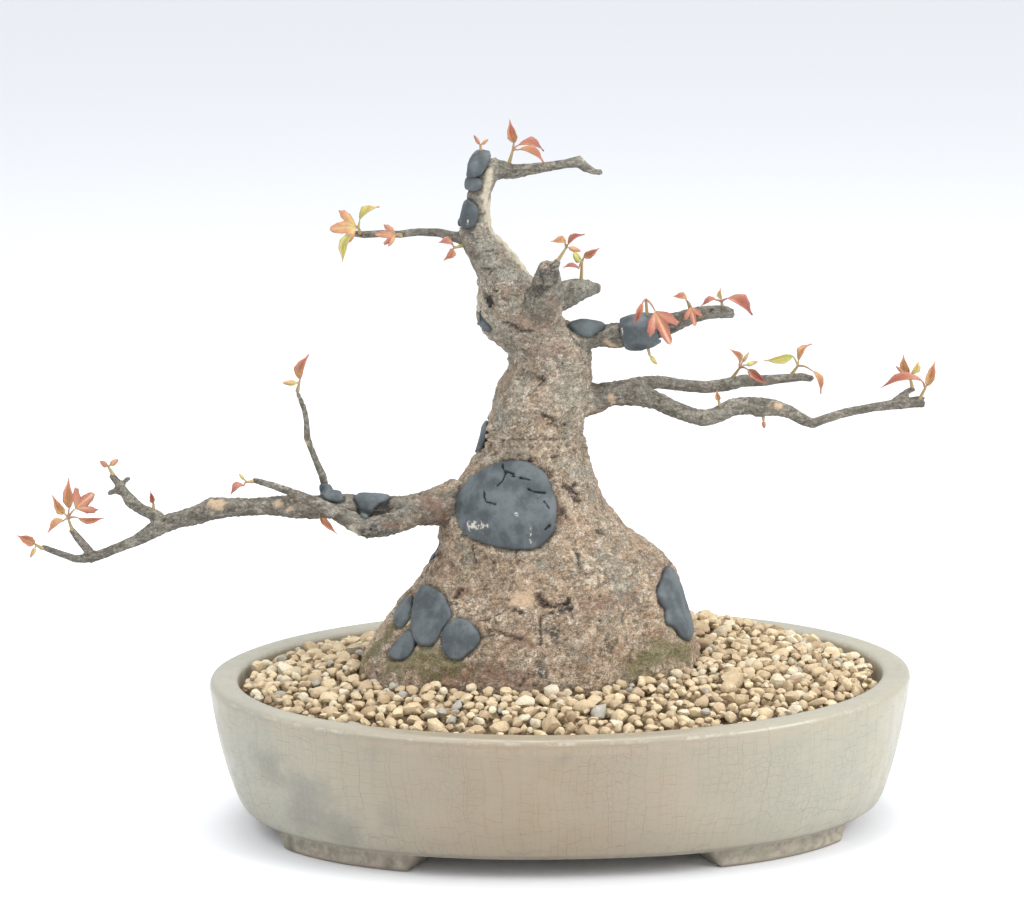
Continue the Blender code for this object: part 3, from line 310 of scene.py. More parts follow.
onStub = (np.linalg.norm(aside, axis=1) < 9.0) & (onward > -2.0)
taper = smooth(1.0, 11.0, onward) * onStub
points -= aside * (taper * 0.42)[:, None]
writePoints(woodMesh, points)
points, normals = readPoints(woodMesh)
wood = surface(woodMesh)
print("tree skin:", len(points), "points")


# wound paste: dark dried pats on old cuts

paste = {"voxel": 0.34, "lump": 0.20, "grit": 0.05, "crackDepth": 0.8, "edge": 0.7, "steps": 120,
         "seat": 1.1, "thinned": 0.55,
         "colour": (0.055, 0.066, 0.072), "light": (0.112, 0.130, 0.138), "dust": (0.60, 0.56, 0.48)}
flatPats = {  # thickness at the middle in mm, then the outline in pixels of the photograph
    "front": (1.9, (516, 460), (532, 463), (545, 473), (552, 486), (556, 501), (556, 520), (553, 534), (540, 546),
              (515, 550), (497, 547), (481, 541), (465, 535), (457, 522), (456, 503), (459, 491), (467, 480), (482, 471), (500, 463)),
    "base_left": (1.15, (424, 582), (432, 587), (441, 592), (447, 603), (452, 615), (447, 621), (441, 630),
                  (438, 640),
                  (430, 647), (421, 645), (414, 640), (412, 630), (412, 617), (414, 605), (417, 594), (420, 586)),
    "base_round": (1.25, (458, 618), (466, 620), (474, 626), (479, 633), (481, 640), (477, 646), (472, 650), (466, 655),
                   (460, 660), (453, 660), (446, 656), (442, 648), (441, 638), (443, 630), (448, 623)),
    "base_small": (1.0, (410, 628), (413, 635), (414, 645), (412, 652), (408, 657), (402, 660), (395, 659), (389, 656),
                   (389, 652), (392, 647), (397, 642), (403, 636)),
    "base_edge": (1.0, (411, 595), (411, 604), (409, 613), (406, 622), (400, 629), (395, 626), (394, 620), (396, 612),
                  (401, 605), (406, 598)),
    "base_right": (1.5, (666, 562), (674, 566), (680, 576), (684, 586), (687, 598), (688, 610), (691, 620), (694, 630),
                   (693, 637), (688, 640), (684, 642), (680, 637), (674, 627), (666, 624), (665, 615), (665, 610),
                   (661, 605), (658, 599), (657, 592), (660, 584), (663, 576)),
    "knob": (2.0, (472, 308), (477, 314), (481, 320), (486, 324), (491, 327), (492, 330), (488, 332), (483, 332),
             (478, 329), (473, 324), (471, 317), (471, 311)),
    "right_root": (1.4, (566, 325), (574, 321), (583, 319), (590, 318), (597, 320), (606, 322), (604, 328), (597, 332),
                   (589, 336), (580, 334), (572, 330)),
    "neck_lower": (1.8, (465, 199), (473, 202), (477, 207), (478, 215), (475, 223), (469, 229), (463, 228), (460, 223),
                   (460, 215), (461, 206)),
    "neck_upper": (1.8, (461, 181), (465, 178), (473, 177), (480, 180), (483, 184), (480, 188), (475, 191), (469, 190),
                   (464, 188), (461, 185)),
    "left_outer": (1.5, (319, 484), (329, 485), (337, 489), (343, 496), (343, 501), (337, 503), (331, 502), (324, 498),
                   (319, 491)),
    "left_inner": (1.3, (358, 494), (372, 492), (384, 493), (393, 497), (389, 501), (378, 503), (373, 508), (371, 515),
                   (365, 519), (360, 513), (358, 506), (354, 500))}
frontCracks = (
    ((502, 465), (505, 473), (503, 480), (497, 486)), ((505, 471), (509, 472), (513, 474)),
    ((484, 491), (484, 497), (486, 502)), ((486, 502), (495, 504)), ((528, 489), (535, 492), (546, 493)),
    ((544, 501), (549, 508)), ((550, 525), (545, 530)), ((512, 476), (530, 480)))
pasteDust = (((469, 525), (476, 525), (484, 527), 1.1), ((530, 525), (531, 543), 0.24), ((468, 217), (468, 222), 0.25),
             ((622, 329), (622, 334), 0.3), ((516, 514), (517, 515), 0.4))


def outlineReach(outline, turn):  # how far the outline is from its middle, in one direction
    middle = np.mean(outline, axis=0)
    arms = np.array(outline, float) - middle
    turns = np.arctan2(arms[:, 1], arms[:, 0])
    order = np.argsort(turns)
    steps = turn + np.radians((-8.0, -4.0, 0.0, 4.0, 8.0))
    return np.interp(steps, turns[order], np.hypot(arms[:, 0], arms[:, 1])[order], period=2.0 * math.pi).mean()


def onWood(u, v, depth, middle):  # the wood under a pixel; past the edge of what is seen, the wood further round
    start = eye.matrix_world.translation
    for step in range(41):
        at = (u + (middle[0] - u) * step / 40.0, v + (middle[1] - v) * step / 40.0)
        along = sightLine(*at)
        spot, normal = wood.ray_cast(start, along)[:2]
        if spot is not None and abs((spot - start).length - depth) < 0.009:
            if step:
                spot, normal = wood.find_nearest(spot + along * math.dist(at, (u, v)) * pixel * mm)[:2]
            return spot, normal
    return wood.find_nearest(start + sightLine(u, v) * depth)[:2]


def layPat(thick, *outline):  # a pat's round-edged profile, spun, then pressed on the wood inside an outline
    middle = np.mean(outline, axis=0)
    start = eye.matrix_world.translation
    hits = [wood.ray_cast(start, sightLine(*point))[0] for point in (middle, *outline)]
    depth = np.median([(hit - start).length for hit in hits if hit is not None])
    facing = Vector((0.0, 0.0, 0.0))
    for u, v in outline:
        facing += onWood(*(middle * 0.4 + np.array((u, v)) * 0.6), depth, middle)[1]
    facing.normalize()
    size = np.mean([math.dist(point, middle) for point in outline]) * pixel
    profile = [(0.0, thick)]
    for k in range(1, 15):
        inward = size * (1.0 - k / 14.0) ** 1.6
        edge = paste["edge"]
        rise = edge * math.sqrt(max(0.0, 1.0 - max(0.0, 1.0 - inward / edge) ** 2))
        profile.append((1.0 - inward / size, rise + (thick - edge) * (1.0 - math.exp(-inward / 3.5))))
    profile += [(1.0, -0.7), (0.8, -1.3), (0.4, -1.3), (0.0, -1.3)]
    shape = bmesh.new()
    line = [shape.verts.new((reach, 0.0, height)) for reach, height in profile]
    edges = [shape.edges.new(pair) for pair in zip(line, line[1:])]
    bmesh.ops.spin(shape, geom=line + edges, cent=(0, 0, 0), axis=(0, 0, 1), angle=2.0 * math.pi,
                   steps=paste["steps"], use_merge=True, use_duplicate=False)
    bmesh.ops.remove_doubles(shape, verts=shape.verts, dist=1e-5)
    for vert in shape.verts:
        turn, reach, height = math.atan2(vert.co.y, vert.co.x), math.hypot(vert.co.x, vert.co.y), vert.co.z
        wave = noise.noise(Vector((math.cos(turn), math.sin(turn), size)) * 2.5)
        reach *= outlineReach(outline, turn) * (1.0 + 0.03 * wave)
        spot, normal = onWood(middle[0] + reach * math.cos(turn), middle[1] + reach * math.sin(turn), depth, middle)
        vert.co = spot + (normal + facing).normalized() * height * mm
    bmesh.ops.recalc_face_normals(shape, faces=shape.faces)
    return shape


pasteFinish = Finish("driedPaste", Metallic=0.0)
crack, dust, worn, _ = pasteFinish.painted("paste")
grain = pasteFinish.noise(1.1, 4)
cloud = pasteFinish.noise(6.0, 4)
speck = pasteFinish.noise(0.5, 2).between(0.64, 0.72)
colour = pasteFinish.mix(cloud.between(0.38, 0.66), paste["colour"], paste["light"])
colour = pasteFinish.mix(grain.between(0.50, 0.75) * 0.3, colour, (0.045, 0.052, 0.058))
colour = pasteFinish.mix(speck * 0.25, colour, (0.26, 0.27, 0.26))
colour = pasteFinish.mix(worn * 0.35, colour, (0.20, 0.22, 0.24))
colour = pasteFinish.mix(dust * grain.between(0.44, 0.54) * 0.85, colour, paste["dust"])
colour = pasteFinish.mix(crack, colour, (0.008, 0.008, 0.009))
pasteFinish.set(Base_Color=colour, Roughness=0.46 + 0.3 * cloud, Specular_IOR_Level=0.35)
pasteFinish.bump((cloud, 0.25, 0.5), (grain, 0.35, 0.15), (pasteFinish.noise(0.35, 2), 0.2, 0.06))

def oneBody(mesh):  # leaves only the largest of a mesh's separate bodies
    shape = bmesh.new()
    shape.from_mesh(mesh)
    waiting, bodies = set(shape.verts), []
    while waiting:
        front = [waiting.pop()]
        found = set(front)
        while front:
            linked = {edge.other_vert(vert) for vert in front for edge in vert.link_edges} & waiting
            waiting -= linked
            found |= linked
            front = list(linked)
        bodies.append(found)
    bodies.sort(key=len)
    bmesh.ops.delete(shape, geom=[vert for found in bodies[:-1] for vert in found], context="VERTS")
    shape.to_mesh(mesh)
    shape.free()


def capShape():  # the cap on the top, drawn in at its sides
    cap = cadCopy("cut_paste_apex")
    middle = (min(vert.co.x for vert in cap.verts) + max(vert.co.x for vert in cap.verts)) / 2
    bmesh.ops.scale(cap, vec=(0.76, 0.92, 1.0), space=Matrix.Translation((-middle - 0.0003, 0, 0)), verts=cap.verts)
    return cap


pasteNodes = sorted(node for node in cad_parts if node.startswith("cut_paste"))
pasteAll = bmesh.new()
for node in pasteNodes:
    flat = flatPats.get(node.replace("cut_paste_", ""))
    shape = layPat(*flat) if flat else capShape() if node == "cut_paste_apex" else cadCopy(node)
    mesh = remade(shape, paste["voxel"], 2 if flat else 9)
    oneBody(mesh)
    patPoints, patNormals = readPoints(mesh)
    for k in range(len(patPoints) if not flat else 0):  # its inner side goes into the wood, so that no gap is seen there
        spot, normal = wood.find_nearest(Vector(patPoints[k].tolist()) * mm)[:2]
        above = float((patPoints[k] - np.array(spot) / mm) @ np.array(normal))
        patPoints[k] -= np.array(normal) * paste["seat"] * float(smooth(0.9, 0.1, above))
        if node == "cut_paste_left_back":
            patPoints[k] -= np.array(normal) * paste["thinned"] * max(0.0, above)
    writePoints(mesh, patPoints)
    patPoints, patNormals = readPoints(mesh)
    tree = surface(mesh)
    lump = field(patPoints, 5.0, 2, 3.0) * paste["lump"] * (1.0 if flat else 1.9)
    lump += field(patPoints, 1.3, 2, 9.0) * paste["grit"]
    wobble = field(patPoints, 1.6, 2, 5.0)
    crack = np.zeros(len(patPoints))
    dust = np.zeros(len(patPoints))
    if node == "cut_paste_front":
        for line in frontCracks:
            crack = np.maximum(crack, marked(tree, patPoints, line, 0.24, 0.9 * wobble))
    for *line, width in pasteDust:
        dust = np.maximum(dust, marked(tree, patPoints, line, width, 0.8 * wobble))
    patPoints += patNormals * (lump - paste["crackDepth"] * crack)[:, None]
    writePoints(mesh, patPoints)
    paint(mesh, "paste", crack, dust, smooth(0.1, 0.3, lump), 1.0)
    pasteAll.from_mesh(mesh)
    addPiece(node.replace("cut_paste", "wound_paste"), mesh, pasteFinish, "cut_paste", node)
print("wound paste:", len(pasteNodes), "pats")


# the bark's relief and marks

barkMarks = (  # kind, pixels of the photograph, width and depth in mm
    ("scar", ((515, 599), (528, 597)), 2.2, 0.4), ("pit", ((539, 597), (541, 604), (547, 605)), 1.0, 1.4),
    ("pit", ((558, 606), (568, 602)), 0.7, 0.8), ("pit", ((520, 612), (513, 609)), 0.9, 1.0),
    ("pit", ((460, 590), (455, 597)), 0.7, 0.7), ("pit", ((358, 668), (364, 657)), 0.9, 0.8),
    ("crack", ((541, 616), (540, 630), (540, 645)), 0.36, 0.9), ("crack", ((541, 616), (552, 612), (571, 608)), 0.36, 0.7),
    ("crack", ((517, 550), (518, 563)), 0.4, 0.8), ("crack", ((473, 543), (475, 564)), 0.36, 0.7),
    ("crack", ((486, 630), (500, 632), (520, 640)), 0.36, 0.5), ("crack", ((480, 622), (492, 618), (505, 612)), 0.36, 0.5),
    ("crack", ((482, 638), (500, 634), (524, 640)), 0.36, 0.5), ("crack", ((574, 548), (580, 566), (590, 578)), 0.34, 0.4),
    ("crack", ((541, 413), (552, 420), (566, 425)), 0.5, 0.9), ("crack", ((548, 423), (558, 426)), 0.5, 0.7),
    ("crack", ((487, 425), (491, 436), (487, 446)), 0.5, 0.7), ("crack", ((495, 455), (530, 460), (556, 457)), 0.4, 0.6),
    ("pit", ((566, 487), (576, 493)), 1.2, 1.0), ("pit", ((598, 530), (603, 532)), 0.8, 0.7),
    ("pit", ((536, 376), (544, 380), (541, 384)), 0.6, 0.6), ("pit", ((573, 497), (580, 500)), 0.8, 0.6),
    ("stain", ((488, 298), (491, 306)), 1.1, 0.5), ("pit", ((561, 510), (566, 518)), 0.7, 0.6),
    ("crack", ((478, 290), (476, 310), (484, 322)), 0.4, 0.5), ("crack", ((504, 322), (520, 330), (540, 332)), 0.4, 0.5),
    ("stain", ((553, 630), (556, 645)), 1.6, 0.2), ("stain", ((539, 663), (542, 676)), 1.7, 0.2),
    ("stain", ((558, 615), (566, 604)), 1.1, 0.0), ("stain", ((548, 266), (557, 274)), 2.3, 0.2),
    ("stain", ((533, 290), (544, 288)), 1.4, 0.3), ("stain", ((472, 230), (476, 240)), 1.2, 0.0),
    ("stain", ((605, 645), (611, 648)), 1.2, 0.2),
    ("grey", ((608, 558), (622, 586)), 4.2, -0.1), ("grey", ((541, 563), (546, 570)), 2.0, 0.0),
    ("grey", ((565, 300), (598, 285)), 6.0, 0.0), ("grey", ((480, 246), (492, 250)), 2.6, -0.2),
    ("grey", ((588, 470), (594, 500)), 3.0, 0.0), ("grey", ((497, 400), (500, 425)), 3.0, 0.0),
    ("grey", ((462, 545), (468, 560)), 2.2, -0.1), ("grey", ((590, 350), (586, 395)), 2.6, 0.0),
    ("grey", ((484, 262), (512, 270), (524, 276)), 3.0, 0.0),
    ("red", ((588, 606), (612, 602), (632, 598)), 2.4, 0.0), ("red", ((612, 596), (618, 602)), 2.0, 0.0),
    ("red", ((453, 592), (463, 594)), 1.6, 0.0), ("red", ((657, 562), (660, 584)), 1.4, 0.0),
    ("red", ((440, 678), (480, 672), (522, 680)), 3.6, 0.0), ("red", ((514, 637), (532, 645)), 1.8, 0.0),
    ("red", ((515, 322), (548, 330)), 3.0, 0.0), ("red", ((532, 350), (560, 345)), 2.2, 0.0),
    ("red", ((428, 500), (440, 520)), 2.6, 0.0), ("red", ((556, 506), (562, 524)), 1.8, 0.0),
    ("moss", ((362, 664), (380, 645), (396, 622), (408, 610)), 3.4, -0.1), ("moss", ((392, 666), (420, 658)), 2.6, -0.1),
    ("moss", ((425, 655), (452, 668)), 3.4, 0.0), ("moss", ((636, 672), (650, 656), (664, 648), (684, 654)), 3.4, -0.1),
    ("moss", ((404, 640), (412, 622)), 0.7, 0.0), ("moss", ((420, 670), (440, 676)), 2.2, 0.0),
    ("pale", ((489, 206), (490, 222), (499, 235), (512, 247), (521, 262)), 3.1, -0.1),
    ("pale", ((478, 296), (479, 310)), 1.6, 0.0),
    ("red", ((549, 298), (556, 306)), 1.4, 0.0), ("crack", ((485, 268), (491, 271), (498, 267)), 0.22, 0.3),
    ("crack", ((484, 253), (490, 250), (497, 253)), 0.22, 0.3),
    ("pale", ((490, 172), (487, 190), (486, 206)), 1.3, 0.0), ("pale", ((583, 160), (588, 163)), 0.5, 0.0),
    ("crack", ((441, 552), (426, 571), (412, 589), (399, 607)), 0.6, 0.8), ("crack", ((412, 589), (410, 604)), 0.5, 0.6),
    ("pale", ((352, 528), (358, 534)), 1.1, -0.3), ("red", ((386, 524), (396, 526)), 1.2, 0.0),
    ("stain", ((362, 532), (366, 534)), 1.6, -0.5), ("stain", ((374, 528), (378, 532)), 1.4, -0.3),
    ("stain", ((372, 503), (386, 512)), 2.2, 0.8), ("grey", ((571, 466), (590, 482)), 3.0, -0.3),
    ("cut", ((214, 504), (220, 504)), 1.9, -0.2), ("cut", ((277, 504), (279, 501)), 0.9, 0.1),
    ("cut", ((287, 511), (290, 509)), 0.8, 0.1), ("cut", ((778, 406), (778, 406)), 1.7, 0.2),
    ("cut", ((929, 400), (930, 404)), 1.4, 0.1), ("cut", ((611, 398), (613, 402)), 1.0, 0.0),
    ("cut", ((587, 160), (590, 164)), 1.2, 0.0), ("cut", ((306, 443), (306, 446)), 0.8, 0.0),
    ("cut", ((606, 342), (612, 346)), 1.2, 0.1))
softKinds = ("grey", "red", "moss", "pale", "stain")

pasteTree = BVHTree.FromBMesh(pasteAll)
pasteAll.free()
fromPaste = np.full(len(points), 9.0)
for k, point in enumerate(points.tolist()):
    near = pasteTree.find_nearest(Vector(point) * mm, 0.007)[3]
    if near is not None:
        fromPaste[k] = near / mm
clear = smooth(0.2, 1.6, fromPaste)
# painted shadow: a dark line on the bark just beside the paste's edge
pasteEdgeShadow = 1.0 - smooth(0.15, 0.75, fromPaste)
callus = smooth(0.5, 1.6, fromPaste) * (1.0 - smooth(2.2, 5.0, fromPaste)) * woody

warp = np.stack([field(points, 9.0, 2, seed) for seed in (1.0, 7.0, 13.0)], axis=1) * 2.2
bent = points + warp
lump = field(bent, 14.0, 3, 2.0) * bark["lump"] * woody
banded = 0.3 + 0.7 * smooth(*bark["wrinkledFrom"], points[:, 2])
wrinkle = 0.5 - np.abs(field(bent, 7.5, 3, 4.0, (1.0, 1.0, 4.2)))
flake, level = flakes(bent, 2.7, 6.0, (1.0, 1.0, 1.5))
levelet = flakes(bent, 1.5, 8.0)[1]
grit = field(points, 1.1, 2, 11.0)
rings = np.sin(points[:, 0] * 3.3 + warp[:, 0] * 2.0) * 0.10 * (1.0 - woody) * smooth(2.0, 4.0, thick)
foldTop, foldLow = (onSurface(wood, 540, v)[2] for v in (436, 462))
folds = smooth(foldLow - 1.0, foldLow + 1.5, points[:, 2]) * smooth(foldTop + 1.0, foldTop - 1.5, points[:, 2]) * woody
folds *= np.sin(points[:, 2] * 2.9 + warp[:, 2] * 1.6) * (0.6 + 0.8 * np.abs(field(points, 6.0, 2, 17.0))) * clear
rough = 0.45 + 0.55 * woody
relief = (lump + wrinkle * bark["wrinkle"] * banded * rough + (level * 0.7 + levelet * 0.35) * bark["flake"] * rough
          - (1.0 - flake) * 0.22 * rough + grit * bark["grit"] * (0.5 + 0.5 * woody) + callus * bark["callus"] + rings
          + folds * bark["fold"])
relief *= 1.0 - 0.85 * twiggy
kinds = {kind: np.zeros(len(points)) for kind in ("scar", "pit", "crack", "cut") + softKinds}
ragged = field(points, 1.6, 3, 15.0)
sunk = np.zeros(len(points))
for kind, spots, width, depth in barkMarks:
    bite = 0.8 if kind not in softKinds else 0.7 if kind == "pale" else 1.1
    weight = marked(wood, points, spots, width, bite * ragged)
    kinds[kind] = np.maximum(kinds[kind], weight)
    sunk = np.where(np.abs(weight * depth) > np.abs(sunk), weight * depth, sunk)
calm = np.maximum.reduce([kinds["scar"], kinds["cut"], 0.25 * kinds["grey"] * woody])
relief = relief * (1.0 - 0.8 * calm) - sunk
relief = np.where(relief > 0.0, relief * (0.15 + 0.85 * clear), relief) - 0.2 * (1.0 - clear)
points += normals * relief[:, None]
writePoints(woodMesh, points)
# painted shade: the bark is darkened where its relief sinks below the lumps, and on the pits and cracks; the first
# channel of barkA carries this
hollowShade = smooth(-0.25, -0.9, (relief - lump) / rough)
paint(woodMesh, "barkA", np.clip(0.7 * hollowShade + kinds["pit"] + kinds["crack"] + 0.8 * pasteEdgeShadow, 0, 1), kinds["moss"],
      kinds["red"], kinds["pale"])
paint(woodMesh, "barkB", np.maximum(kinds["scar"], kinds["cut"]), kinds["stain"], kinds["grey"], woody)
paint(woodMesh, "barkC", 1.0 - flake, smooth(96.0, 150.0, points[:, 2]), smooth(0.0, 0.7, relief - lump), 0.0)
paint(woodMesh, "barkD", 0.5 + 0.5 * level, 0.5 + 0.5 * levelet, 0.0, 0.0)

barkFinish = Finish("barkFinish", Specular_IOR_Level=0.25)
paintedShade, moss, red, pale = barkFinish.painted("barkA")
cut, stain, grey, woodShare = barkFinish.painted("barkB")
seam, height, high, _ = barkFinish.painted("barkC")
plate, platelet, _, _ = barkFinish.painted("barkD")
broad = barkFinish.noise(15.0, 3)
middle = barkFinish.noise(4.5, 4, 0.6, 0.5)
streak = barkFinish.noise(1.7, 4, 0.7, 1.2, (1.0, 1.0, 2.2))
fine = barkFinish.noise(0.72, 4, 0.7, 1.2)
zone = barkFinish.noise(8.5, 3, 0.6, 0.8)
dusty = barkFinish.noise(0.42, 3, 0.7)
tinge = barkFinish.noise(1.6, 3, 0.6, 1.0)
swirl = barkFinish.node("TexNoise", None, {"Vector": barkFinish.place, "Scale": 420.0, "Detail": 2.0}, "Color")
swirl = barkFinish.node("VectorMath", {"operation": "MULTIPLY_ADD"},
                        {0: swirl, 1: (0.0030, 0.0030, 0.0022), 2: barkFinish.place})
scale = barkFinish.cells(0.75, place=swirl, out="Color")
scale = barkFinish.node("SeparateColor", None, {"Color": scale}, 0)
scaleEdge = barkFinish.cells(0.75, "DISTANCE_TO_EDGE", swirl).between(0.10, 0.02)
tone = middle * 0.28 + streak * 0.30 + fine * 0.28 + (plate - 0.5) * 0.10 + (platelet - 0.5) * 0.08 + scale * 0.10 + 0.03
veins = (barkFinish.noise(5.5, 4, 0.6, 1.2, (1.0, 1.0, 1.9)) - 0.5).sum("ABSOLUTE").between(0.030, 0.006)
thinVeins = (barkFinish.noise(2.7, 3, 0.6, 1.0, (1.0, 1.0, 1.6)) - 0.52).sum("ABSOLUTE").between(0.026, 0.006)
veins = veins.sum("MAXIMUM", thinVeins * 0.8) * middle.between(0.34, 0.50)
trunkTone = barkFinish.ramp(tone, (0.385, (0.105, 0.072, 0.048)), (0.46, (0.275, 0.200, 0.130)),
                            (0.53, (0.410, 0.318, 0.224)), (0.62, (0.69, 0.60, 0.475)))
upperTone = barkFinish.ramp(tone, (0.385, (0.095, 0.082, 0.062)), (0.46, (0.235, 0.207, 0.162)),
                            (0.53, (0.360, 0.325, 0.262)), (0.62, (0.64, 0.595, 0.495)))
fibre = barkFinish.noise(1.3, 4, 0.65, 1.0, (0.30, 1.0, 1.0))
branchTone = barkFinish.ramp(fine * 0.22 + fibre * 0.44 + middle * 0.26 + scale * 0.08, (0.38, (0.060, 0.056, 0.048)),
                             (0.50, (0.165, 0.152, 0.125)), (0.62, (0.37, 0.345, 0.29)))
colour = barkFinish.mix(height, trunkTone, upperTone)
colour = barkFinish.mix(woodShare, branchTone, colour)
colour = barkFinish.mix(zone.between(0.50, 0.60) * woodShare * 0.40, colour,
                        barkFinish.mix(fine, (0.36, 0.235, 0.150), (0.62, 0.455, 0.320)))
colour = barkFinish.mix(zone.between(0.46, 0.36) * woodShare * 0.45, colour,
                        barkFinish.mix(fine, (0.17, 0.165, 0.135), (0.40, 0.39, 0.32)))
colour = barkFinish.mix(tinge.between(0.50, 0.62) * 0.45 * woodShare * (1.0 - 0.6 * height), colour, (0.46, 0.315, 0.190))
colour = barkFinish.mix(tinge.between(0.46, 0.36) * 0.40, colour, (0.25, 0.245, 0.205))
colour = barkFinish.mix(broad.between(0.54, 0.66) * middle.between(0.40, 0.60) * 0.4 * woodShare, colour,
                        (0.40, 0.270, 0.190))
colour = barkFinish.mix(broad.between(0.47, 0.34) * streak.between(0.40, 0.55) * 0.4, colour, (0.27, 0.275, 0.225))
colour = barkFinish.mix(red * fine.between(0.42, 0.54) * 0.70, colour,
                        barkFinish.mix(height, (0.185, 0.078, 0.052), (0.27, 0.165, 0.115)))
colour = barkFinish.mix(grey * middle.between(0.35, 0.52) * 0.65, colour,
                        barkFinish.mix(fine.between(0.30, 0.70), (0.12, 0.12, 0.10), (0.42, 0.43, 0.36)))
colour = barkFinish.mix(high * fine.between(0.46, 0.60) * 0.35, colour, (0.58, 0.51, 0.41))
colour = barkFinish.mix(dusty.between(0.59, 0.66) * woodShare * 0.42, colour, (0.76, 0.70, 0.61))
colour = barkFinish.mix(dusty.between(0.41, 0.34) * 0.50, colour, (0.080, 0.058, 0.042))
colour = barkFinish.mix(scaleEdge * fine.between(0.56, 0.44) * 0.35, colour, (0.095, 0.070, 0.050))
colour = barkFinish.mix(seam * fine.between(0.60, 0.45) * 0.5, colour, (0.10, 0.072, 0.052))
colour = barkFinish.mix(veins * woodShare * 0.66, colour, (0.085, 0.060, 0.045))
colour = barkFinish.mix(pale * (0.55 + 0.30 * fine.between(0.35, 0.55)), colour, (0.58, 0.515, 0.390))
# painted shade in the relief's hollows, darkened pits and cracks, and a painted shadow line along the paste's edges
colour = barkFinish.mix(paintedShade * (0.50 + 0.45 * fine.between(0.62, 0.42)), colour, (0.030, 0.023, 0.019))
colour = barkFinish.mix(stain * streak.between(0.58, 0.46) * 0.9, colour, (0.055, 0.050, 0.048))
colour = barkFinish.mix(moss * fine.between(0.30, 0.52) * 0.85, colour,
                        barkFinish.mix(dusty.between(0.35, 0.65), (0.055, 0.055, 0.020), (0.215, 0.195, 0.095)))
colour = barkFinish.mix(cut * (0.65 + 0.35 * streak.between(0.40, 0.52)), colour,
                        barkFinish.mix(fine, (0.36, 0.240, 0.150), (0.64, 0.490, 0.345)))
barkFinish.set(Base_Color=colour, Roughness=0.72 + 0.2 * fine)
barkFinish.bump((veins * woodShare, -0.5, 0.35), (streak, 0.45, 0.7), (scale, 0.4, 0.30), (fine, 0.7, 0.40),
                (dusty, 0.5, 0.18))
addPiece("bark", woodMesh, barkFinish, "bark", "tree")
print("bark done")


# the pot: an oval bowl with a rounded rim, four feet and two drainage holes

pot = {"rim": (105.0, 75.0), "sides": 176, "drainAt": 38.0, "drainRadius": 9.5,
       "foot": (92.0, 59.5), "footWidth": 12.0, "footArc": (28.0, 63.0), "footHeight": 6.0, "footRound": 0.9}
potProfile = (  # how far inside the rim's edge, and the height, from the bottom round to the floor inside
    (60.0, 6.0), (30.0, 6.0), (12.4, 6.0), (11.2, 6.15), (10.5, 6.6), (10.2, 7.2), (9.3, 7.5), (8.7, 8.2), (7.6, 10.4),
    (6.2, 14.2), (5.0, 18.0), (3.9, 22.0), (2.7, 26.8), (1.75, 31.6), (0.95, 36.0), (0.35, 40.0), (0.0, 42.6),
    (0.1, 43.7), (0.55, 44.5), (1.4, 44.95), (2.6, 45.05), (4.4, 44.95), (6.0, 44.9), (7.2, 44.75), (8.0, 44.4),
    (8.4, 43.7), (8.55, 42.5), (8.9, 40.0), (9.6, 36.0), (11.2, 27.0), (14.6, 18.0), (17.0, 15.2), (21.0, 14.0),
    (40.0, 14.0), (60.0, 14.0))


def signedPower(value, power):
    return math.copysign(abs(value) ** power, value)


def ovalPoint(halfX, halfY, squareness, turn):
    return (halfX * signedPower(math.cos(turn), 2.0 / squareness), halfY * signedPower(math.sin(turn), 2.0 / squareness))


shape = bmesh.new()
steps = []
for (inA, zA), (inB, zB) in zip(potProfile, potProfile[1:]):
    cuts = max(1, int(math.hypot(inA - inB, zA - zB) / 4.0))
    steps += [(inA + (inB - inA) * k / cuts, zA + (zB - zA) * k / cuts) for k in range(cuts)]
steps.append(potProfile[-1])
line = [shape.verts.new((100.0 - inset, 0.0, z)) for inset, z in steps]
edges = [shape.edges.new(pair) for pair in zip(line, line[1:])]
bmesh.ops.spin(shape, geom=line + edges, cent=(0, 0, 0), axis=(0, 0, 1), angle=2.0 * math.pi,
               steps=pot["sides"], use_merge=True, use_duplicate=False)
bmesh.ops.holes_fill(shape, edges=[edge for edge in shape.edges if edge.is_boundary])
for vert in shape.verts:
    inset, turn, z = 100.0 - math.hypot(vert.co.x, vert.co.y), math.atan2(vert.co.y, vert.co.x), vert.co.z
    low = float(smooth(18.0, 6.0, z))
    squareness = 2.25 - 0.25 * float(smooth(6.0, 45.0, z))
    x, y = ovalPoint(pot["rim"][0] - inset, pot["rim"][1] - inset * (1.0 + 0.13 * low), squareness, turn)
    waver = 0.28 * noise.noise(Vector((x, y, z)) / 26.0)
    vert.co = ((x * (1.0 + waver / 100.0)), y * (1.0 + waver / 100.0), z)
bmesh.ops.recalc_face_normals(shape, faces=shape.faces)


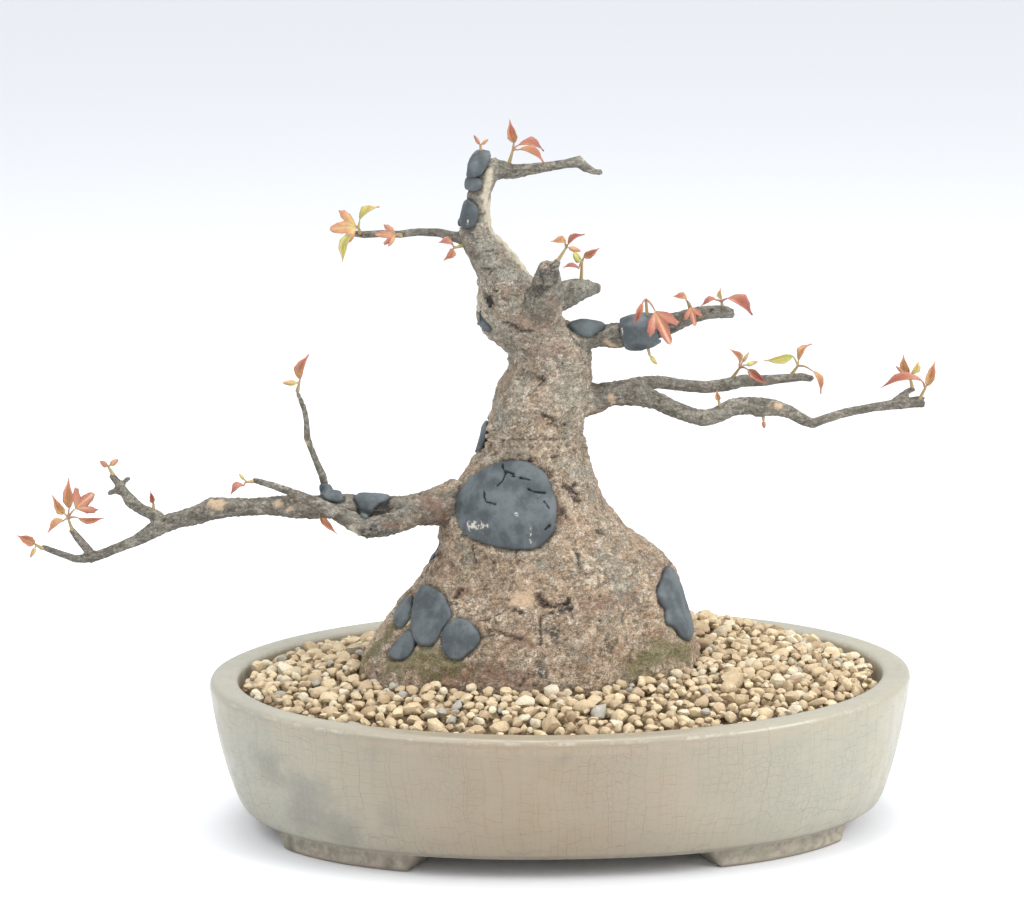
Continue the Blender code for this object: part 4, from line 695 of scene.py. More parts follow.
def footShape(flipX, flipY):
    foot = bmesh.new()
    bmesh.ops.create_grid(foot, x_segments=18, y_segments=3, size=1.0)
    bottom = foot.faces[:]
    for vert in foot.verts:
        vert.co.z = 0.0
    top = bmesh.ops.extrude_face_region(foot, geom=bottom)["geom"]
    raised = [part for part in top if isinstance(part, bmesh.types.BMVert)]
    for vert in foot.verts:
        up = 1.0 if vert in raised else 0.0
        start, end = pot["footArc"][0] - 3.0 * up, pot["footArc"][1] + 3.0 * up
        turn = math.radians(start + (end - start) * (vert.co.x + 1.0) / 2.0)
        inset = pot["footWidth"] * (1.0 - vert.co.y) / 2.0
        x, y = ovalPoint(pot["foot"][0] + 0.6 * up - inset, pot["foot"][1] + 0.6 * up - inset, 2.25, turn)
        vert.co = (x * flipX, y * flipY, (pot["footHeight"] + 2.0) * up)
    bmesh.ops.recalc_face_normals(foot, faces=foot.faces)
    sharp = [edge for edge in foot.edges
             if edge.calc_face_angle(0.0) > 0.9 and edge.verts[0].co.z + edge.verts[1].co.z < 15.0]
    bmesh.ops.bevel(foot, geom=sharp, offset=pot["footRound"], offset_type="OFFSET", affect="EDGES", segments=3,
                    profile=0.5, material=-1)
    bmesh.ops.recalc_face_normals(foot, faces=foot.faces)
    return foot


def solidItem(shape):
    mesh = bpy.data.meshes.new("solid")
    shape.to_mesh(mesh)
    shape.free()
    item = bpy.data.objects.new("solid", mesh)
    bpy.context.scene.collection.objects.link(item)
    return item


def combine(item, other, operation):
    step = item.modifiers.new("step", "BOOLEAN")
    step.object, step.operation, step.solver = other, operation, "EXACT"
    bpy.context.view_layer.update()
    made = bpy.data.meshes.new_from_object(item.evaluated_get(bpy.context.evaluated_depsgraph_get()))
    item.modifiers.clear()
    item.data = made
    bpy.data.objects.remove(other)


bowl = solidItem(shape)
for flipX in (1.0, -1.0):
    for flipY in (1.0, -1.0):
        combine(bowl, solidItem(footShape(flipX, flipY)), "UNION")
    drain = bmesh.new()
    bmesh.ops.create_cone(drain, cap_ends=True, segments=40, radius1=pot["drainRadius"], radius2=pot["drainRadius"],
                          depth=30.0)
    bmesh.ops.translate(drain, vec=(pot["drainAt"] * flipX, 0.0, 9.0), verts=drain.verts)
    combine(bowl, solidItem(drain), "DIFFERENCE")
shape = bmesh.new()
shape.from_mesh(bowl.data)
bpy.data.objects.remove(bowl)
bmesh.ops.scale(shape, vec=(mm, mm, mm), verts=shape.verts)
bmesh.ops.translate(shape, vec=(potX, 0.0, 0.0), verts=shape.verts)

# smudges and stains on the glaze, placed by pixels of the photograph, with their width in mm and strength
potMarks = ((((254, 752), (284, 774), (316, 792), (330, 812)), 4.5, 0.42),
            (((300, 812), (322, 818), (342, 832)), 6.5, 0.50), (((373, 858), (386, 864)), 1.6, 1.0),
            (((288, 846), (292, 850)), 1.2, 0.8), (((382, 808), (398, 826)), 3.0, 0.30),
            (((562, 756), (568, 766)), 1.6, 0.40), (((372, 740), (378, 752)), 1.6, 0.18),
            (((690, 868), (700, 872)), 1.2, 0.5))
bmesh.ops.triangulate(shape, faces=[face for face in shape.faces if len(face.verts) > 4])
potMesh = bpy.data.meshes.new("potMesh")
shape.to_mesh(potMesh)
shape.free()
points, normals = readPoints(potMesh)
tree = surface(potMesh)
smudge = np.zeros(len(points))
for spots, width, strength in potMarks:
    smudge = np.maximum(smudge, strength * marked(tree, points, spots, width, 0.4 * field(points, 5.0, 2, 21.0)))
blush = np.exp(-(((points[:, 0] - 14.0) / 62.0) ** 2)) * smooth(-40.0, -70.0, points[:, 1])
paint(potMesh, "pot", smudge, blush, 0.0, 1.0)
plan = (points[:, :2] - np.array((potX / mm, 0.0))) / np.array(pot["rim"])
inset = (1.0 - np.hypot(plan[:, 0], plan[:, 1])) * 88.0
sweep = np.linspace(0.0, math.pi, 361)
alongRim = np.concatenate(((0.0,), np.cumsum(np.hypot(*(np.diff(half * wave(sweep))
                                                       for half, wave in zip(pot["rim"], (np.cos, np.sin)))))))
around = np.interp(np.abs(np.arctan2(plan[:, 1], plan[:, 0])), sweep, alongRim)
paint(potMesh, "wall", (points[:, 2] + 0.9 * inset) * mm, around * mm, 0.0, 1.0)  # metres up the wall and round the rim

glaze = Finish("celadonGlaze", Specular_IOR_Level=0.45, Coat_Roughness=0.16)
height = glaze.node("SeparateXYZ", None, {"Vector": glaze.place}, 2)
smudge, blush, _, _ = glaze.painted("pot")
patchy = glaze.noise(26.0, 3)
cloudy = glaze.noise(9.0, 4)
dirt = glaze.noise(2.4, 5, 0.65)
upWall, roundRim, _, _ = glaze.painted("wall")
place = glaze.node("CombineXYZ", None, {"X": upWall, "Y": roundRim})
for size, reach in ((16.0, 5.0), (4.0, 1.5)):  # bends the lines, first widely and then finely
    bend = glaze.node("TexNoise", None, {"Vector": glaze.place, "Scale": 1.0 / (size * mm), "Detail": 1.0}, "Color")
    place = glaze.node("VectorMath", {"operation": "MULTIPLY_ADD"}, {0: bend, 1: (reach * mm,) * 3, 2: place})


def crackle(wide, tall, width):  # long upright lines, with short level ones between them
    return glaze.node("TexBrick", {"offset": 0.5, "offset_frequency": 2, "squash": 0.72, "squash_frequency": 3},
                      {"Vector": place, "Scale": 1.0 / mm, "Mortar Size": width / 2.0, "Mortar Smooth": 0.6,
                       "Brick Width": tall, "Row Height": wide}, "Fac")


lines = crackle(4.7, 3.4, 0.17) * (0.40 + 0.60 * cloudy.between(0.40, 0.58))
lines = lines.sum("MAXIMUM", crackle(2.6, 2.1, 0.13) * patchy.between(0.50, 0.60) * 0.6)
netted = glaze.node("TexVoronoi", {"feature": "DISTANCE_TO_EDGE", "voronoi_dimensions": "2D"},
                    {"Vector": place, "Scale": 1.0 / (2.3 * mm)}).between(0.050, 0.010)
lines = lines.sum("MAXIMUM", netted * patchy.between(0.54, 0.42) * 0.75)
lines = lines.sum("MAXIMUM", crackle(5.3, 120.0, 0.20) * (0.45 + 0.55 * cloudy.between(0.40, 0.58)))
colour = glaze.mix(patchy.between(0.42, 0.60), (0.300, 0.290, 0.230), (0.332, 0.308, 0.235))
colour = glaze.mix(cloudy.between(0.45, 0.70) * 0.4, colour, (0.375, 0.348, 0.275))
colour = glaze.mix(blush * (0.55 + 0.45 * cloudy), colour, (0.275, 0.204, 0.132))
colour = glaze.mix(dirt.between(0.52, 0.72) * 0.18, colour, (0.25, 0.215, 0.155))
colour = glaze.mix(lines * 0.50, colour, (0.150, 0.128, 0.098))
colour = glaze.mix(glaze.noise(0.9, 2).between(0.72, 0.78) * 0.6, colour, (0.12, 0.10, 0.08))
colour = glaze.mix(smudge * cloudy.between(0.30, 0.50), colour, (0.150, 0.145, 0.128))
# painted highlight: the rim's flat top is made a little lighter
rimTopHighlight = height.between(0.0430, 0.0446)
rimEdgeChipsAndHighlight = height.between(0.0434, 0.0438) * height.between(0.0446, 0.0442)
colour = glaze.mix(rimTopHighlight * 0.35, colour, (0.325, 0.305, 0.238))
# lighter broken line along the rim's outer edge: partly worn chips in the glaze, partly a painted highlight
colour = glaze.mix(rimEdgeChipsAndHighlight * dirt.between(0.42, 0.55) * cloudy.between(0.46, 0.58) * 0.55, colour, (0.46, 0.42, 0.35))
colour = glaze.mix(height.between(0.0398, 0.0414) * height.between(0.0432, 0.0420) * dirt.between(0.42, 0.60) * 0.4, colour,
                   (0.36, 0.28, 0.20))
bare = height.between(0.0076, 0.0062)
bareTone = glaze.mix(dirt.between(0.38, 0.60), (0.25, 0.220, 0.170), (0.40, 0.360, 0.285))
bareTone = glaze.mix(cloudy.between(0.52, 0.62) * 0.4, bareTone, (0.40, 0.31, 0.255))
colour = glaze.mix(bare * (0.40 + 0.50 * cloudy.between(0.32, 0.52)), colour, bareTone)
colour = glaze.mix(height.between(0.0088, 0.0074) * height.between(0.0060, 0.0070) * 0.45, colour, (0.20, 0.17, 0.13))
colour = glaze.mix(height.between(0.0014, 0.0004) * dirt.between(0.35, 0.55) * 0.7, colour, (0.20, 0.15, 0.12))
colour = glaze.mix(bare * smudge, colour, (0.09, 0.075, 0.06))
glaze.set(Base_Color=colour, Roughness=0.38 + 0.25 * cloudy.between(0.4, 0.65) + 0.25 * bare,
          Coat_Weight=0.30 * (1.0 - bare))
glaze.bump((cloudy, 0.12, 0.6), (lines, -0.25, 0.06), (dirt, 0.10, 0.15))
addPiece("glazed_pot", potMesh, glaze, "celadon_glaze", "pot")
print("pot done")


# the soil: a bed, and loose grains dropped on it one by one

soil = {"edge": 42.2, "rise": 10.0, "tries": 26000, "bed": -3.4, "top": 1.3, "seed": 7,
        "sizes": ((0.035, 3.0, 3.9), (0.34, 2.0, 3.0), (1.0, 1.1, 2.0))}


def mound(x, y):  # the soil's height, x and y from the middle of the pot, in mm
    away = (x / 96.5) ** 2 + (y / 66.5) ** 2
    heap = 4.0 * math.exp(-((x - 45.0) / 26.0) ** 2 - ((y - 36.0) / 18.0) ** 2)
    return soil["edge"] + soil["rise"] * max(0.0, 1.0 - away) + heap


bed = cadCopy("soil")
for vert in bed.verts:
    if vert.co.z > 0.036:
        vert.co.z -= 0.0030
bedFinish = Finish("soilBed", Roughness=0.95)
bedGrain = bedFinish.noise(1.6, 4, 0.7)
bedFinish.set(Base_Color=bedFinish.mix(bedGrain.between(0.35, 0.65), (0.16, 0.110, 0.065), (0.42, 0.315, 0.19)))
bedFinish.bump((bedGrain, 0.8, 1.0))
addPiece("soil_bed", bed, bedFinish, "soil_grains", "soil")

barkTree = surface(bpy.data.objects["bark"].data)
draw = random.Random(soil["seed"])
grid = {}
grains = []
for _ in range(soil["tries"]):
    chance = draw.random()
    low, high = next((low, high) for share, low, high in soil["sizes"] if chance < share)
    radius = draw.uniform(low, high)
    turn, out = draw.uniform(0.0, 2.0 * math.pi), math.sqrt(draw.random())
    x = (95.0 - radius * 0.8) * out * math.cos(turn)
    y = (65.0 - radius * 0.8) * out * math.sin(turn)
    level = mound(x, y)
    z = level + soil["bed"] + radius
    cell = (int(x // 10.0), int(y // 10.0))
    around = [grain for i in (-1, 0, 1) for j in (-1, 0, 1) for grain in grid.get((cell[0] + i, cell[1] + j), ())]
    for ox, oy, oz, other in around:
        reach = 0.86 * (radius + other)
        flat = (x - ox) ** 2 + (y - oy) ** 2
        if flat < reach * reach:
            z = max(z, oz + math.sqrt(reach * reach - flat))
    if z + radius > level + soil["top"] + 0.9 * radius:
        continue
    spot = Vector((x + potX / mm, y, z)) * mm
    near, normal, _, away = barkTree.find_nearest(spot)
    if away < radius * 0.72 * mm or (spot - near).dot(normal) < 0.0:
        continue
    grid.setdefault(cell, []).append((x, y, z, radius))
    grains.append((x, y, z, radius))
print("soil:", len(grains), "grains")


def addGrain(shape, middle, radius, tone):
    made = bmesh.ops.create_icosphere(shape, subdivisions=2, radius=1.0)["verts"]
    stretch = Vector((draw.uniform(0.85, 1.35), draw.uniform(0.8, 1.15), draw.uniform(0.66, 0.98)))
    facets = [(Vector((draw.gauss(0, 1), draw.gauss(0, 1), draw.gauss(0, 1))).normalized(), draw.uniform(0.50, 0.82))
              for _ in range(9)]
    shift = Vector((draw.uniform(0, 50), draw.uniform(0, 50), draw.uniform(0, 50)))
    turn = Matrix.Rotation(draw.uniform(0, 6.3), 3, "Z") @ Matrix.Rotation(draw.uniform(-0.5, 0.5), 3, "X")
    for vert in made:
        co = vert.co * (1.0 + 0.26 * noise.noise(vert.co * 1.5 + shift))
        for facing, level in facets:
            over = co.dot(facing) - level
            if over > 0.0:
                co -= facing * over * 0.95
        co = Vector((co.x * stretch.x, co.y * stretch.y, co.z * stretch.z)) * radius * 1.06
        vert.co = (turn @ co + middle) * mm
        vert[toneLayer] = tone


grainFinish = Finish("clayGrain", Roughness=0.92, Specular_IOR_Level=0.25)
tone, pale, grey, _ = grainFinish.painted("grain")
pores = grainFinish.noise(0.8, 4, 0.7)
spots = grainFinish.noise(2.2, 3)
colour = grainFinish.ramp(tone, (0.0, (0.37, 0.270, 0.170)), (0.30, (0.48, 0.370, 0.237)), (0.62, (0.565, 0.450, 0.290)),
                          (1.0, (0.66, 0.545, 0.365)))
colour = grainFinish.mix(pale, colour, (0.63, 0.565, 0.43))
colour = grainFinish.mix(grey, colour, (0.36, 0.345, 0.30))
colour = grainFinish.mix(spots.between(0.50, 0.68) * 0.3, colour, (0.66, 0.58, 0.43))
colour = grainFinish.mix(spots.between(0.48, 0.34) * 0.25, colour, (0.40, 0.28, 0.17))
colour = grainFinish.mix(pores.between(0.46, 0.30) * 0.6, colour, (0.21, 0.15, 0.09))
grainFinish.set(Base_Color=colour)
grainFinish.bump((spots, 0.5, 0.6), (pores, 0.75, 0.32))

third = (len(grains) + 2) // 3
for part in range(3):
    shape = bmesh.new()
    toneLayer = shape.verts.layers.float_color.new("grain")
    for x, y, z, radius in grains[part * third:(part + 1) * third]:
        chance = draw.random()
        tone = (min(1.0, max(0.0, draw.gauss(0.5, 0.24))), 1.0 if chance < 0.085 else (0.6 if chance < 0.14 else 0.0),
                1.0 if chance > 0.965 else 0.0, 1.0)
        addGrain(shape, Vector((x + potX / mm, y, z)), radius, tone)
    grainPiece = addPiece("soil_grains_%d" % (part + 1), shape, grainFinish, "soil_grains", "soil")
    grainPiece.data.set_sharp_from_angle(angle=math.radians(38.0))
print("soil done")


# young leaves: where a stem leaves the twig, its crown, then each leaf from base to tip, with its
# width, kind and hue (0 yellow-green, 0.5 orange, 1 dark red), in mm from the middle of the pot

leafLook = {"thick": 0.20, "fold": {"folded": 1.10, "open": 0.35}, "roll": {"folded": 0.6, "open": 0.25}, "arch": 0.13,
            "petiole": 0.30, "stem": 0.55}
shoots = {
    "apex": ((-13.1, 0.0, 198.3), (-11.9, -1.0, 202.3), (
        ((-11.5, -1.0, 204.6), (-12.6, -3.0, 211.4), 3.0, "folded", 0.66),
        ((-10.4, 0.6, 203.4), (-3.0, 5.0, 201.0), 3.4, "folded", 0.88),
        ((-10.4, -2.0, 202.4), (-3.2, -6.0, 198.4), 3.2, "folded", 0.66))),
    "cap": ((-21.2, -1.0, 202.8), (-21.3, -1.2, 203.9), (
        ((-21.6, -1.2, 204.2), (-23.2, -2.0, 207.0), 1.4, "bud", 0.8),
        ((-20.9, -1.0, 204.2), (-19.0, 0.0, 205.4), 1.3, "bud", 0.7))),
    "upper_left": ((-57.0, 1.6, 178.9), (-57.4, 0.2, 180.0), (
        ((-57.0, 0.4, 182.0), (-51.2, 2.0, 185.6), 3.2, "folded", 0.12),
        ((-58.0, -1.4, 180.6), (-65.0, -5.0, 180.6), 7.0, "open", 0.42),
        ((-59.4, -2.6, 178.9), (-61.9, -6.0, 170.9), 3.2, "folded", 0.06))),
    "upper_mid": ((-45.0, 0.6, 177.6), (-45.8, -1.2, 178.0), (
        ((-46.4, -1.8, 178.0), (-52.0, -4.0, 178.6), 4.0, "open", 0.62),
        ((-47.0, -2.2, 177.4), (-48.6, -4.6, 175.0), 1.8, "bud", 0.55))),
    "neck": ((-28.0, -2.6, 174.2), (-29.2, -4.4, 174.4), (
        ((-29.8, -4.8, 174.9), (-34.1, -7.0, 175.6), 3.0, "folded", 0.78),
        ((-29.8, -5.0, 173.9), (-32.4, -7.6, 171.3), 2.6, "folded", 0.72))),
    "front_stub": ((0.6, -18.0, 172.8), (3.0, -19.0, 176.1), (
        ((2.7, -20.0, 177.7), (-1.5, -23.0, 178.5), 2.6, "folded", 0.45),
        ((3.5, -20.0, 177.2), (8.2, -21.0, 180.4), 2.0, "folded", 0.9),
        ((3.8, -18.6, 176.1), (7.3, -17.0, 174.8), 1.8, "bud", 0.6))),
    "grey_stub": ((8.0, 4.0, 163.7), (8.0, 3.0, 168.4), (
        ((8.6, 2.8, 169.9), (13.1, 1.0, 173.1), 2.4, "folded", 0.62),
        ((6.9, 1.7, 168.6), (5.4, -0.4, 171.6), 2.2, "bud", 0.04),
        ((6.9, 1.8, 166.6), (2.2, -1.4, 166.8), 1.9, "folded", 0.85),
        ((7.6, 4.0, 169.2), (5.2, 5.4, 172.0), 1.5, "bud", 0.12))),
    "right_root": ((26.2, -9.4, 154.4), (26.2, -11.4, 159.5), (
        ((25.1, -12.8, 158.6), (22.4, -15.4, 152.4), 2.0, "folded", 0.95),
        ((28.7, -14.2, 156.5), (32.8, -18.5, 147.9), 6.6, "open", 0.8))),
    "right_mid": ((39.1, -9.4, 156.6), (38.4, -11.4, 158.4), (
        ((37.8, -12.4, 159.2), (33.4, -15.0, 160.5), 2.6, "folded", 0.62),
        ((39.3, -13.4, 157.4), (40.1, -15.6, 152.4), 3.6, "open", 0.74))),
    "right_tip": ((48.7, -10.4, 157.2), (48.2, -11.4, 158.4), (
        ((48.2, -11.4, 159.2), (48.1, -11.2, 162.4), 1.7, "folded", 0.3),
        ((46.4, -12.2, 159.1), (41.8, -15.0, 157.8), 2.2, "folded", 0.98),
        ((49.6, -12.4, 159.5), (56.4, -15.5, 154.2), 4.6, "folded", 0.9))),
    "right_under": ((27.0, -8.4, 143.2), (27.3, -8.8, 142.4), (
        ((27.6, -9.0, 142.0), (29.4, -10.4, 140.0), 2.0, "bud", 0.22),)),
    "back_mid": ((52.2, 10.0, 132.2), (54.7, 8.1, 135.2), (
        ((54.4, 7.8, 136.5), (51.8, 6.0, 141.1), 2.6, "folded", 0.6),
        ((57.0, 5.6, 135.0), (62.9, 1.6, 131.2), 2.8, "folded", 0.86),
        ((55.6, 8.6, 136.8), (57.6, 9.8, 139.6), 1.6, "bud", 0.66),
        ((56.8, 9.0, 135.8), (60.3, 11.0, 136.4), 1.8, "bud", 0.3))),
    "back_tip": ((69.9, 12.0, 132.6), (72.2, 10.8, 135.0), (
        ((70.5, 9.8, 138.2), (61.5, 7.0, 137.7), 2.8, "folded", 0.08),
        ((72.4, 11.0, 136.3), (76.7, 13.0, 141.0), 2.8, "folded", 0.55),
        ((76.2, 8.6, 133.9), (78.5, 6.6, 127.1), 2.6, "folded", 0.55))),
    "far_spur": ((105.0, -4.2, 131.6), (103.9, -5.0, 134.2), (
        ((103.5, -5.2, 135.2), (102.0, -6.0, 141.0), 2.6, "folded", 0.5),
        ((104.2, -4.8, 135.0), (106.6, -3.0, 138.2), 2.4, "folded", 0.25),
        ((103.1, -5.4, 134.6), (99.3, -8.0, 138.1), 1.6, "bud", 0.5))),
    "far_tip": ((106.8, -5.6, 128.0), (108.2, -6.6, 131.0), (
        ((108.6, -6.8, 131.8), (111.2, -7.4, 139.3), 2.8, "folded", 0.5),
        ((107.0, -8.8, 133.6), (94.9, -11.0, 132.0), 3.4, "folded", 0.86))),
    "riser": ((-75.8, -9.2, 134.3), (-75.4, -9.4, 135.7), (
        ((-75.1, -9.6, 136.8), (-71.9, -11.0, 144.6), 3.4, "folded", 0.62),
        ((-76.2, -10.0, 135.9), (-80.2, -12.0, 136.4), 2.0, "bud", 0.35))),
    "front_spur": ((-90.6, -13.0, 107.9), (-91.4, -14.2, 107.4), (
        ((-92.0, -15.6, 106.6), (-95.6, -19.0, 105.0), 2.6, "folded", 0.92),
        ((-92.0, -14.2, 108.2), (-93.4, -15.2, 110.2), 1.3, "bud", 0.15))),
    "knobby": ((-132.2, -7.2, 109.9), (-132.3, -7.4, 111.0), (
        ((-132.7, -7.9, 111.4), (-134.4, -10.4, 113.4), 2.2, "bud", 0.68),
        ((-131.8, -7.2, 111.6), (-129.4, -6.0, 112.9), 2.2, "bud", 0.6))),
    "knobby_root": ((-119.0, -9.6, 99.0), (-119.2, -9.9, 100.2), (
        ((-119.3, -10.1, 100.6), (-120.2, -11.4, 104.6), 1.7, "folded", 0.95),)),
    "left_fan": ((-144.9, -6.0, 93.2), (-144.9, -6.6, 95.4), (
        ((-145.9, -7.5, 97.1), (-149.1, -10.0, 103.1), 2.8, "folded", 0.5),
        ((-144.5, -6.4, 98.5), (-144.1, -7.0, 107.5), 3.2, "folded", 0.6),
        ((-142.9, -5.4, 98.0), (-137.5, -1.4, 102.0), 6.4, "open", 0.72),
        ((-141.5, -7.7, 95.7), (-133.9, -9.6, 96.0), 2.2, "folded", 0.7),
        ((-146.1, -7.7, 95.1), (-150.3, -12.0, 92.7), 2.4, "folded", 0.5))),
    "left_tip": ((-154.2, -5.0, 87.0), (-154.8, -5.8, 87.4), (
        ((-155.2, -6.2, 87.7), (-160.2, -9.0, 91.0), 2.8, "folded", 0.66),
        ((-155.0, -6.4, 86.6), (-156.4, -8.2, 84.0), 1.9, "bud", 0.35))),
    "left_mid": ((-69.8, -13.9, 97.6), (-70.0, -14.8, 96.8), (
        ((-69.8, -15.3, 96.3), (-64.6, -19.6, 93.0), 2.2, "folded", 0.72),)),
    "right_bud": ((60.6, -8.4, 123.2), (60.6, -8.6, 122.4), (
        ((60.6, -8.7, 122.2), (60.8, -9.2, 120.2), 1.6, "bud", 0.85),)),
    "right_sprout": ((47.6, -9.6, 127.2), (47.4, -9.9, 128.6), (
        ((47.4, -10.0, 129.0), (46.8, -10.8, 132.2), 1.7, "folded", 0.45),)),
}


def vine(shape, points, radii, hue):  # a round stem through some points, closed at both ends
    curve = bpy.data.curves.new("vine", "CURVE")
    curve.dimensions = "3D"
    curve.bevel_depth = 1.0
    curve.bevel_resolution = 2
    curve.use_fill_caps = True
    spline = curve.splines.new("POLY")
    spline.points.add(len(points) - 1)
    for knot, point, radius in zip(spline.points, points, radii):
        knot.co = (*point, 1.0)
        knot.radius = radius
    item = bpy.data.objects.new("vine", curve)
    bpy.context.scene.collection.objects.link(item)
    bpy.context.view_layer.update()
    mesh = bpy.data.meshes.new_from_object(item.evaluated_get(bpy.context.evaluated_depsgraph_get()))
    start = len(shape.verts)
    shape.from_mesh(mesh)
    bpy.data.objects.remove(item)
    shape.verts.ensure_lookup_table()
    for vert in shape.verts[start:]:
        vert[leafLayer] = (0.3, 0.5, hue, 0.0)


def bowed(start, end, sag, count=6):  # a bent line of points between two points
    start, end = Vector(start), Vector(end)
    return [start.lerp(end, k / count) + Vector((0, 0, sag * math.sin(math.pi * k / count))) for k in range(count + 1)]


def blade(shape, base, tip, width, kind, hue):
    base, tip = Vector(base), Vector(tip)
    rib = tip - base
    length = rib.length
    rib.normalize()
    facing = Vector((0.0, -1.0, 0.45))
    facing = (facing - rib * facing.dot(rib)).normalized()
    facing.rotate(Quaternion(rib, leafLook["roll"][kind] * math.sin(3.7 * tip.x + 2.3 * tip.z)))
    side = rib.cross(facing)
    fold = leafLook["fold"][kind]
    wave = noise.noise(tip)
    columns = 8 if kind == "folded" else 26
    made = bmesh.ops.create_grid(shape, x_segments=14, y_segments=columns, size=1.0)["verts"]
    faces = {face for vert in made for face in vert.link_faces}
    for vert in made:
        t, s = (vert.co.x + 1.0) / 2.0, vert.co.y
        edge = abs(s)
        if kind == "folded":
            teeth = 0.045 * edge ** 3 * math.sin(t * 21.0 + 2.0 * wave)
            half = width * 0.52 * (math.sin(math.pi * t ** 0.78) ** 0.95 + teeth) * (1.0 - 0.40 * smooth(0.65, 1.0, t))
            along, across = t * length, s * max(float(half), 0.09)
            lift = fold * abs(across) + leafLook["arch"] * length * math.sin(math.pi * t) - 0.30 * length * t ** 3 * wave
            across += 0.16 * length * math.sin(2.4 * t) * t * noise.noise(tip * 1.7)
            lift += 0.05 * width * math.sin(t * 9.0 + s * 2.0)
        else:
            turn = s * 1.15
            lobe = max(math.exp(-(turn / 0.36) ** 2), 0.80 * math.exp(-((edge * 1.15 - 0.82) / 0.26) ** 2))
            reach = length * (0.40 + 0.62 * lobe) * (1.0 + 0.055 * math.sin(turn * 34.0) * t)
            reach *= 0.03 + 0.97 * t ** 0.8
            along, across = reach * math.cos(turn), reach * math.sin(turn) * 1.2 * min(1.0, width / length)
            lift = fold * abs(across) * (1.0 - 0.4 * t) - 0.16 * length * t * t * lobe
            lift += 0.035 * length * math.sin(turn * 9.0) * t
        vert.co = base + rib * along + side * across + facing * lift
        vert[leafLayer] = (t, edge, hue, 1.0)
    bmesh.ops.recalc_face_normals(shape, faces=list(faces))
    bmesh.ops.solidify(shape, geom=list(faces), thickness=leafLook["thick"])


def budShape(shape, base, tip, width, hue):
    base, tip = Vector(base), Vector(tip)
    turn = (tip - base).to_track_quat("Z", "Y").to_matrix()
    length = (tip - base).length
    made = bmesh.ops.create_uvsphere(shape, u_segments=10, v_segments=9, radius=1.0)["verts"]
    for vert in made:
        t = (vert.co.z + 1.0) / 2.0
        ridge = 1.0 + 0.12 * math.cos(4.0 * math.atan2(vert.co.y, vert.co.x))
        slim = width * 0.5 * ridge * (1.0 - 0.55 * t)
        vert.co = base + turn @ Vector((vert.co.x * slim, vert.co.y * slim, t * length))
        vert[leafLayer] = (t, 0.5, hue, 1.0)


leafFinish = Finish("youngLeaf", Roughness=0.42, Specular_IOR_Level=0.45, Subsurface_Weight=0.12,
                    Subsurface_Radius=(1.0, 0.35, 0.12), Subsurface_Scale=0.0008)
along, across, hue, isBlade = leafFinish.painted("leaf")
mottle = leafFinish.noise(1.8, 3)
tone = hue * 0.84 + 0.08 + (along - 0.45) * 0.36 + (mottle - 0.5) * 0.45
colour = leafFinish.ramp(tone, (0.0, (0.33, 0.37, 0.10)), (0.22, (0.50, 0.46, 0.15)), (0.42, (0.47, 0.290, 0.120)),
                         (0.62, (0.42, 0.195, 0.110)), (0.82, (0.37, 0.132, 0.090)), (1.0, (0.23, 0.078, 0.060)))
rib = across.between(0.10, 0.02) * isBlade
veins = ((along - across * 0.5) * 40.0).sum("SINE").between(0.86, 0.99) * isBlade
colour = leafFinish.mix((rib + veins * 0.35) * 0.45, colour, (0.62, 0.43, 0.24))
colour = leafFinish.mix(across.between(0.72, 1.0) * isBlade * 0.40, colour, (0.33, 0.110, 0.075))
colour = leafFinish.mix(mottle.between(0.50, 0.66) * 0.30, colour, (0.34, 0.22, 0.13))
stemTone = leafFinish.mix(hue, (0.36, 0.315, 0.130), (0.32, 0.140, 0.105))
colour = leafFinish.mix(isBlade, stemTone, colour)
leafFinish.set(Base_Color=colour)
leafFinish.bump((veins + rib, -0.35, 0.12), (mottle, 0.25, 0.2))

for name, (root, crown, blades) in shoots.items():
    shape = bmesh.new()
    leafLayer = shape.verts.layers.float_color.new("leaf")
    root, crown = Vector(root), Vector(crown)
    near, normal = wood.find_nearest((root + Vector((potX / mm, 0.0, 0.0))) * mm)[:2]
    foot = near / mm - Vector((potX / mm, 0.0, 0.0)) - normal * 0.7
    vine(shape, bowed(foot, crown, 0.0, 4), [leafLook["stem"] * (1.15 - 0.12 * k) for k in range(5)], 0.3)
    for base, tip, width, kind, hue in blades:
        tip = Vector(tip)
        points = bowed(crown, base, 0.12 * (Vector(base) - crown).length)
        vine(shape, points, [leafLook["petiole"] * (1.25 - 0.09 * k) for k in range(7)], hue)
        if kind == "bud":
            budShape(shape, base, tip, width, hue)
        else:
            blade(shape, base, tip, width * 0.92, kind, hue)
    bmesh.ops.scale(shape, vec=(mm, mm, mm), verts=shape.verts)
    bmesh.ops.translate(shape, vec=(potX, 0.0, 0.0), verts=shape.verts)
    addPiece("young_leaves_" + name, shape, leafFinish, "new_leaf", "leafy_shoot_" + name)
print("leaves:", len(shoots), "shoots")


# drainage screens and clips, which keep their CAD shape

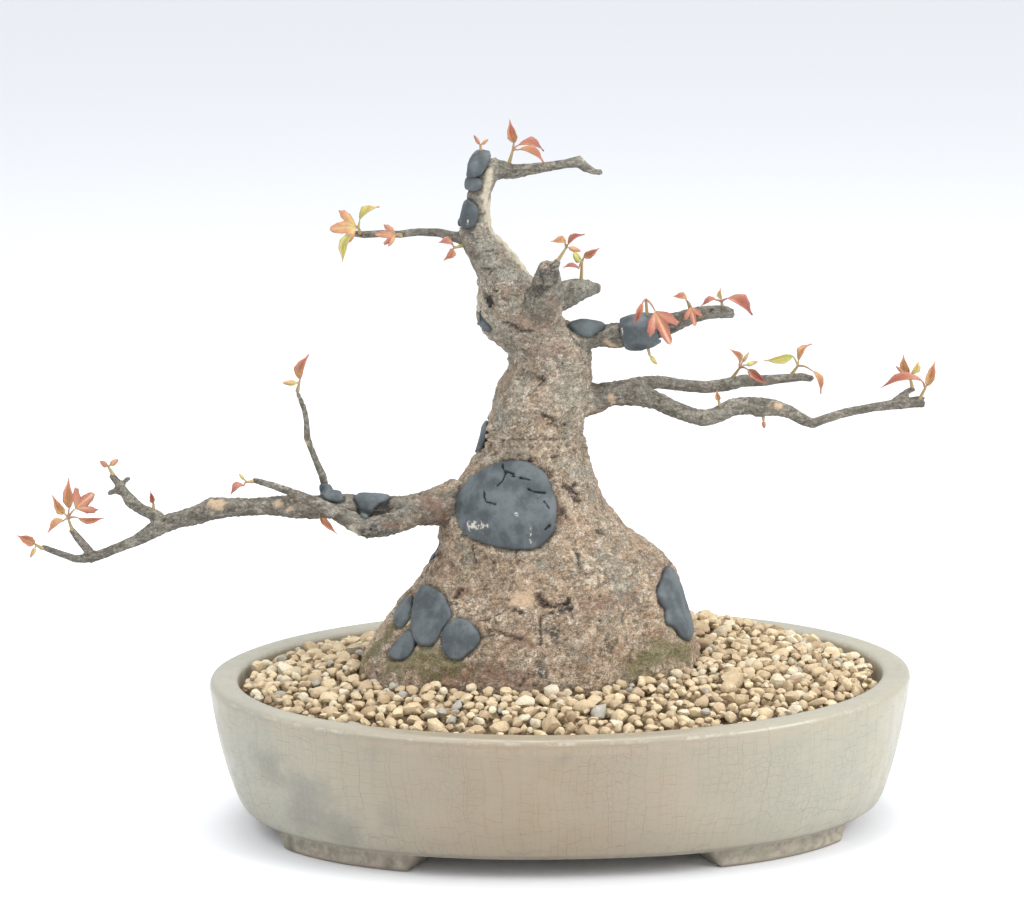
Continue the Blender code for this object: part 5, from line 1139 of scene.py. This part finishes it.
screenFinish = Finish("screenMesh", Base_Color=(0.018, 0.018, 0.02))
scuff = screenFinish.noise(2.0, 4)
screenFinish.set(Roughness=0.38 + 0.3 * scuff)
screenFinish.bump((scuff, 0.2, 0.1))
clipFinish = Finish("clipWire", Metallic=1.0)
drawn = clipFinish.noise(0.6, 3, stretch=(0.1, 1.0, 1.0))
clipDull = clipFinish.noise(3.0, 3).between(0.4, 0.7)
clipFinish.set(Base_Color=clipFinish.mix(clipDull, (0.74, 0.74, 0.75), (0.50, 0.50, 0.50)),
               Roughness=0.28 + 0.25 * drawn)
clipFinish.bump((drawn, 0.1, 0.03))
for side in ("left", "right"):
    for node, finish in (("drain_screen_" + side, screenFinish), ("screen_clip_" + side, clipFinish)):
        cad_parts[node].data.materials.clear()
        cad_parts[node].data.materials.append(finish.material)


# floor, light and background

studio = {"floor": (0.86, 0.875, 0.90), "world": (0.935, 0.957, 0.985), "worldStrength": 1.0}
lamps = (  # place, aim, size, power, colour
    ((-0.60, -0.60, 0.95), (0.0, 0.0, 0.08), 0.6, 4.5, (1.0, 0.985, 0.96)),
    ((0.85, -0.45, 0.60), (0.04, 0.0, 0.06), 0.5, 8.0, (1.0, 0.99, 0.97)),
    ((0.0, 0.15, 1.15), (0.0, 0.0, 0.05), 0.6, 6.5, (1.0, 1.0, 1.0)))

floorShape = bmesh.new()
bmesh.ops.create_grid(floorShape, x_segments=1, y_segments=1, size=9.0)
floorFinish = Finish("paleFloor", Base_Color=studio["floor"], Roughness=0.85, Specular_IOR_Level=0.2)
floorMesh = bpy.data.meshes.new("floor")
floorShape.to_mesh(floorMesh)
floorShape.free()
floorMesh.materials.append(floorFinish.material)
floor = bpy.data.objects.new("floor", floorMesh)
bpy.context.scene.collection.objects.link(floor)

world = bpy.data.worlds.new("studio")
bpy.context.scene.world = world
world.use_nodes = True
backdrop = world.node_tree.nodes["Background"]
backdrop.inputs["Color"].default_value = (*studio["world"], 1.0)
backdrop.inputs["Strength"].default_value = studio["worldStrength"]
for place, aim, size, power, tint in lamps:
    light = bpy.data.lights.new("softLight", "AREA")
    light.shape, light.size, light.energy, light.color = "SQUARE", size, power, tint
    lamp = bpy.data.objects.new("softLight", light)
    bpy.context.scene.collection.objects.link(lamp)
    lamp.location = place
    lamp.rotation_euler = (Vector(aim) - Vector(place)).to_track_quat("-Z", "Y").to_euler()
bpy.context.scene.view_settings.view_transform = "Standard"

bpy.context.view_layer.update()
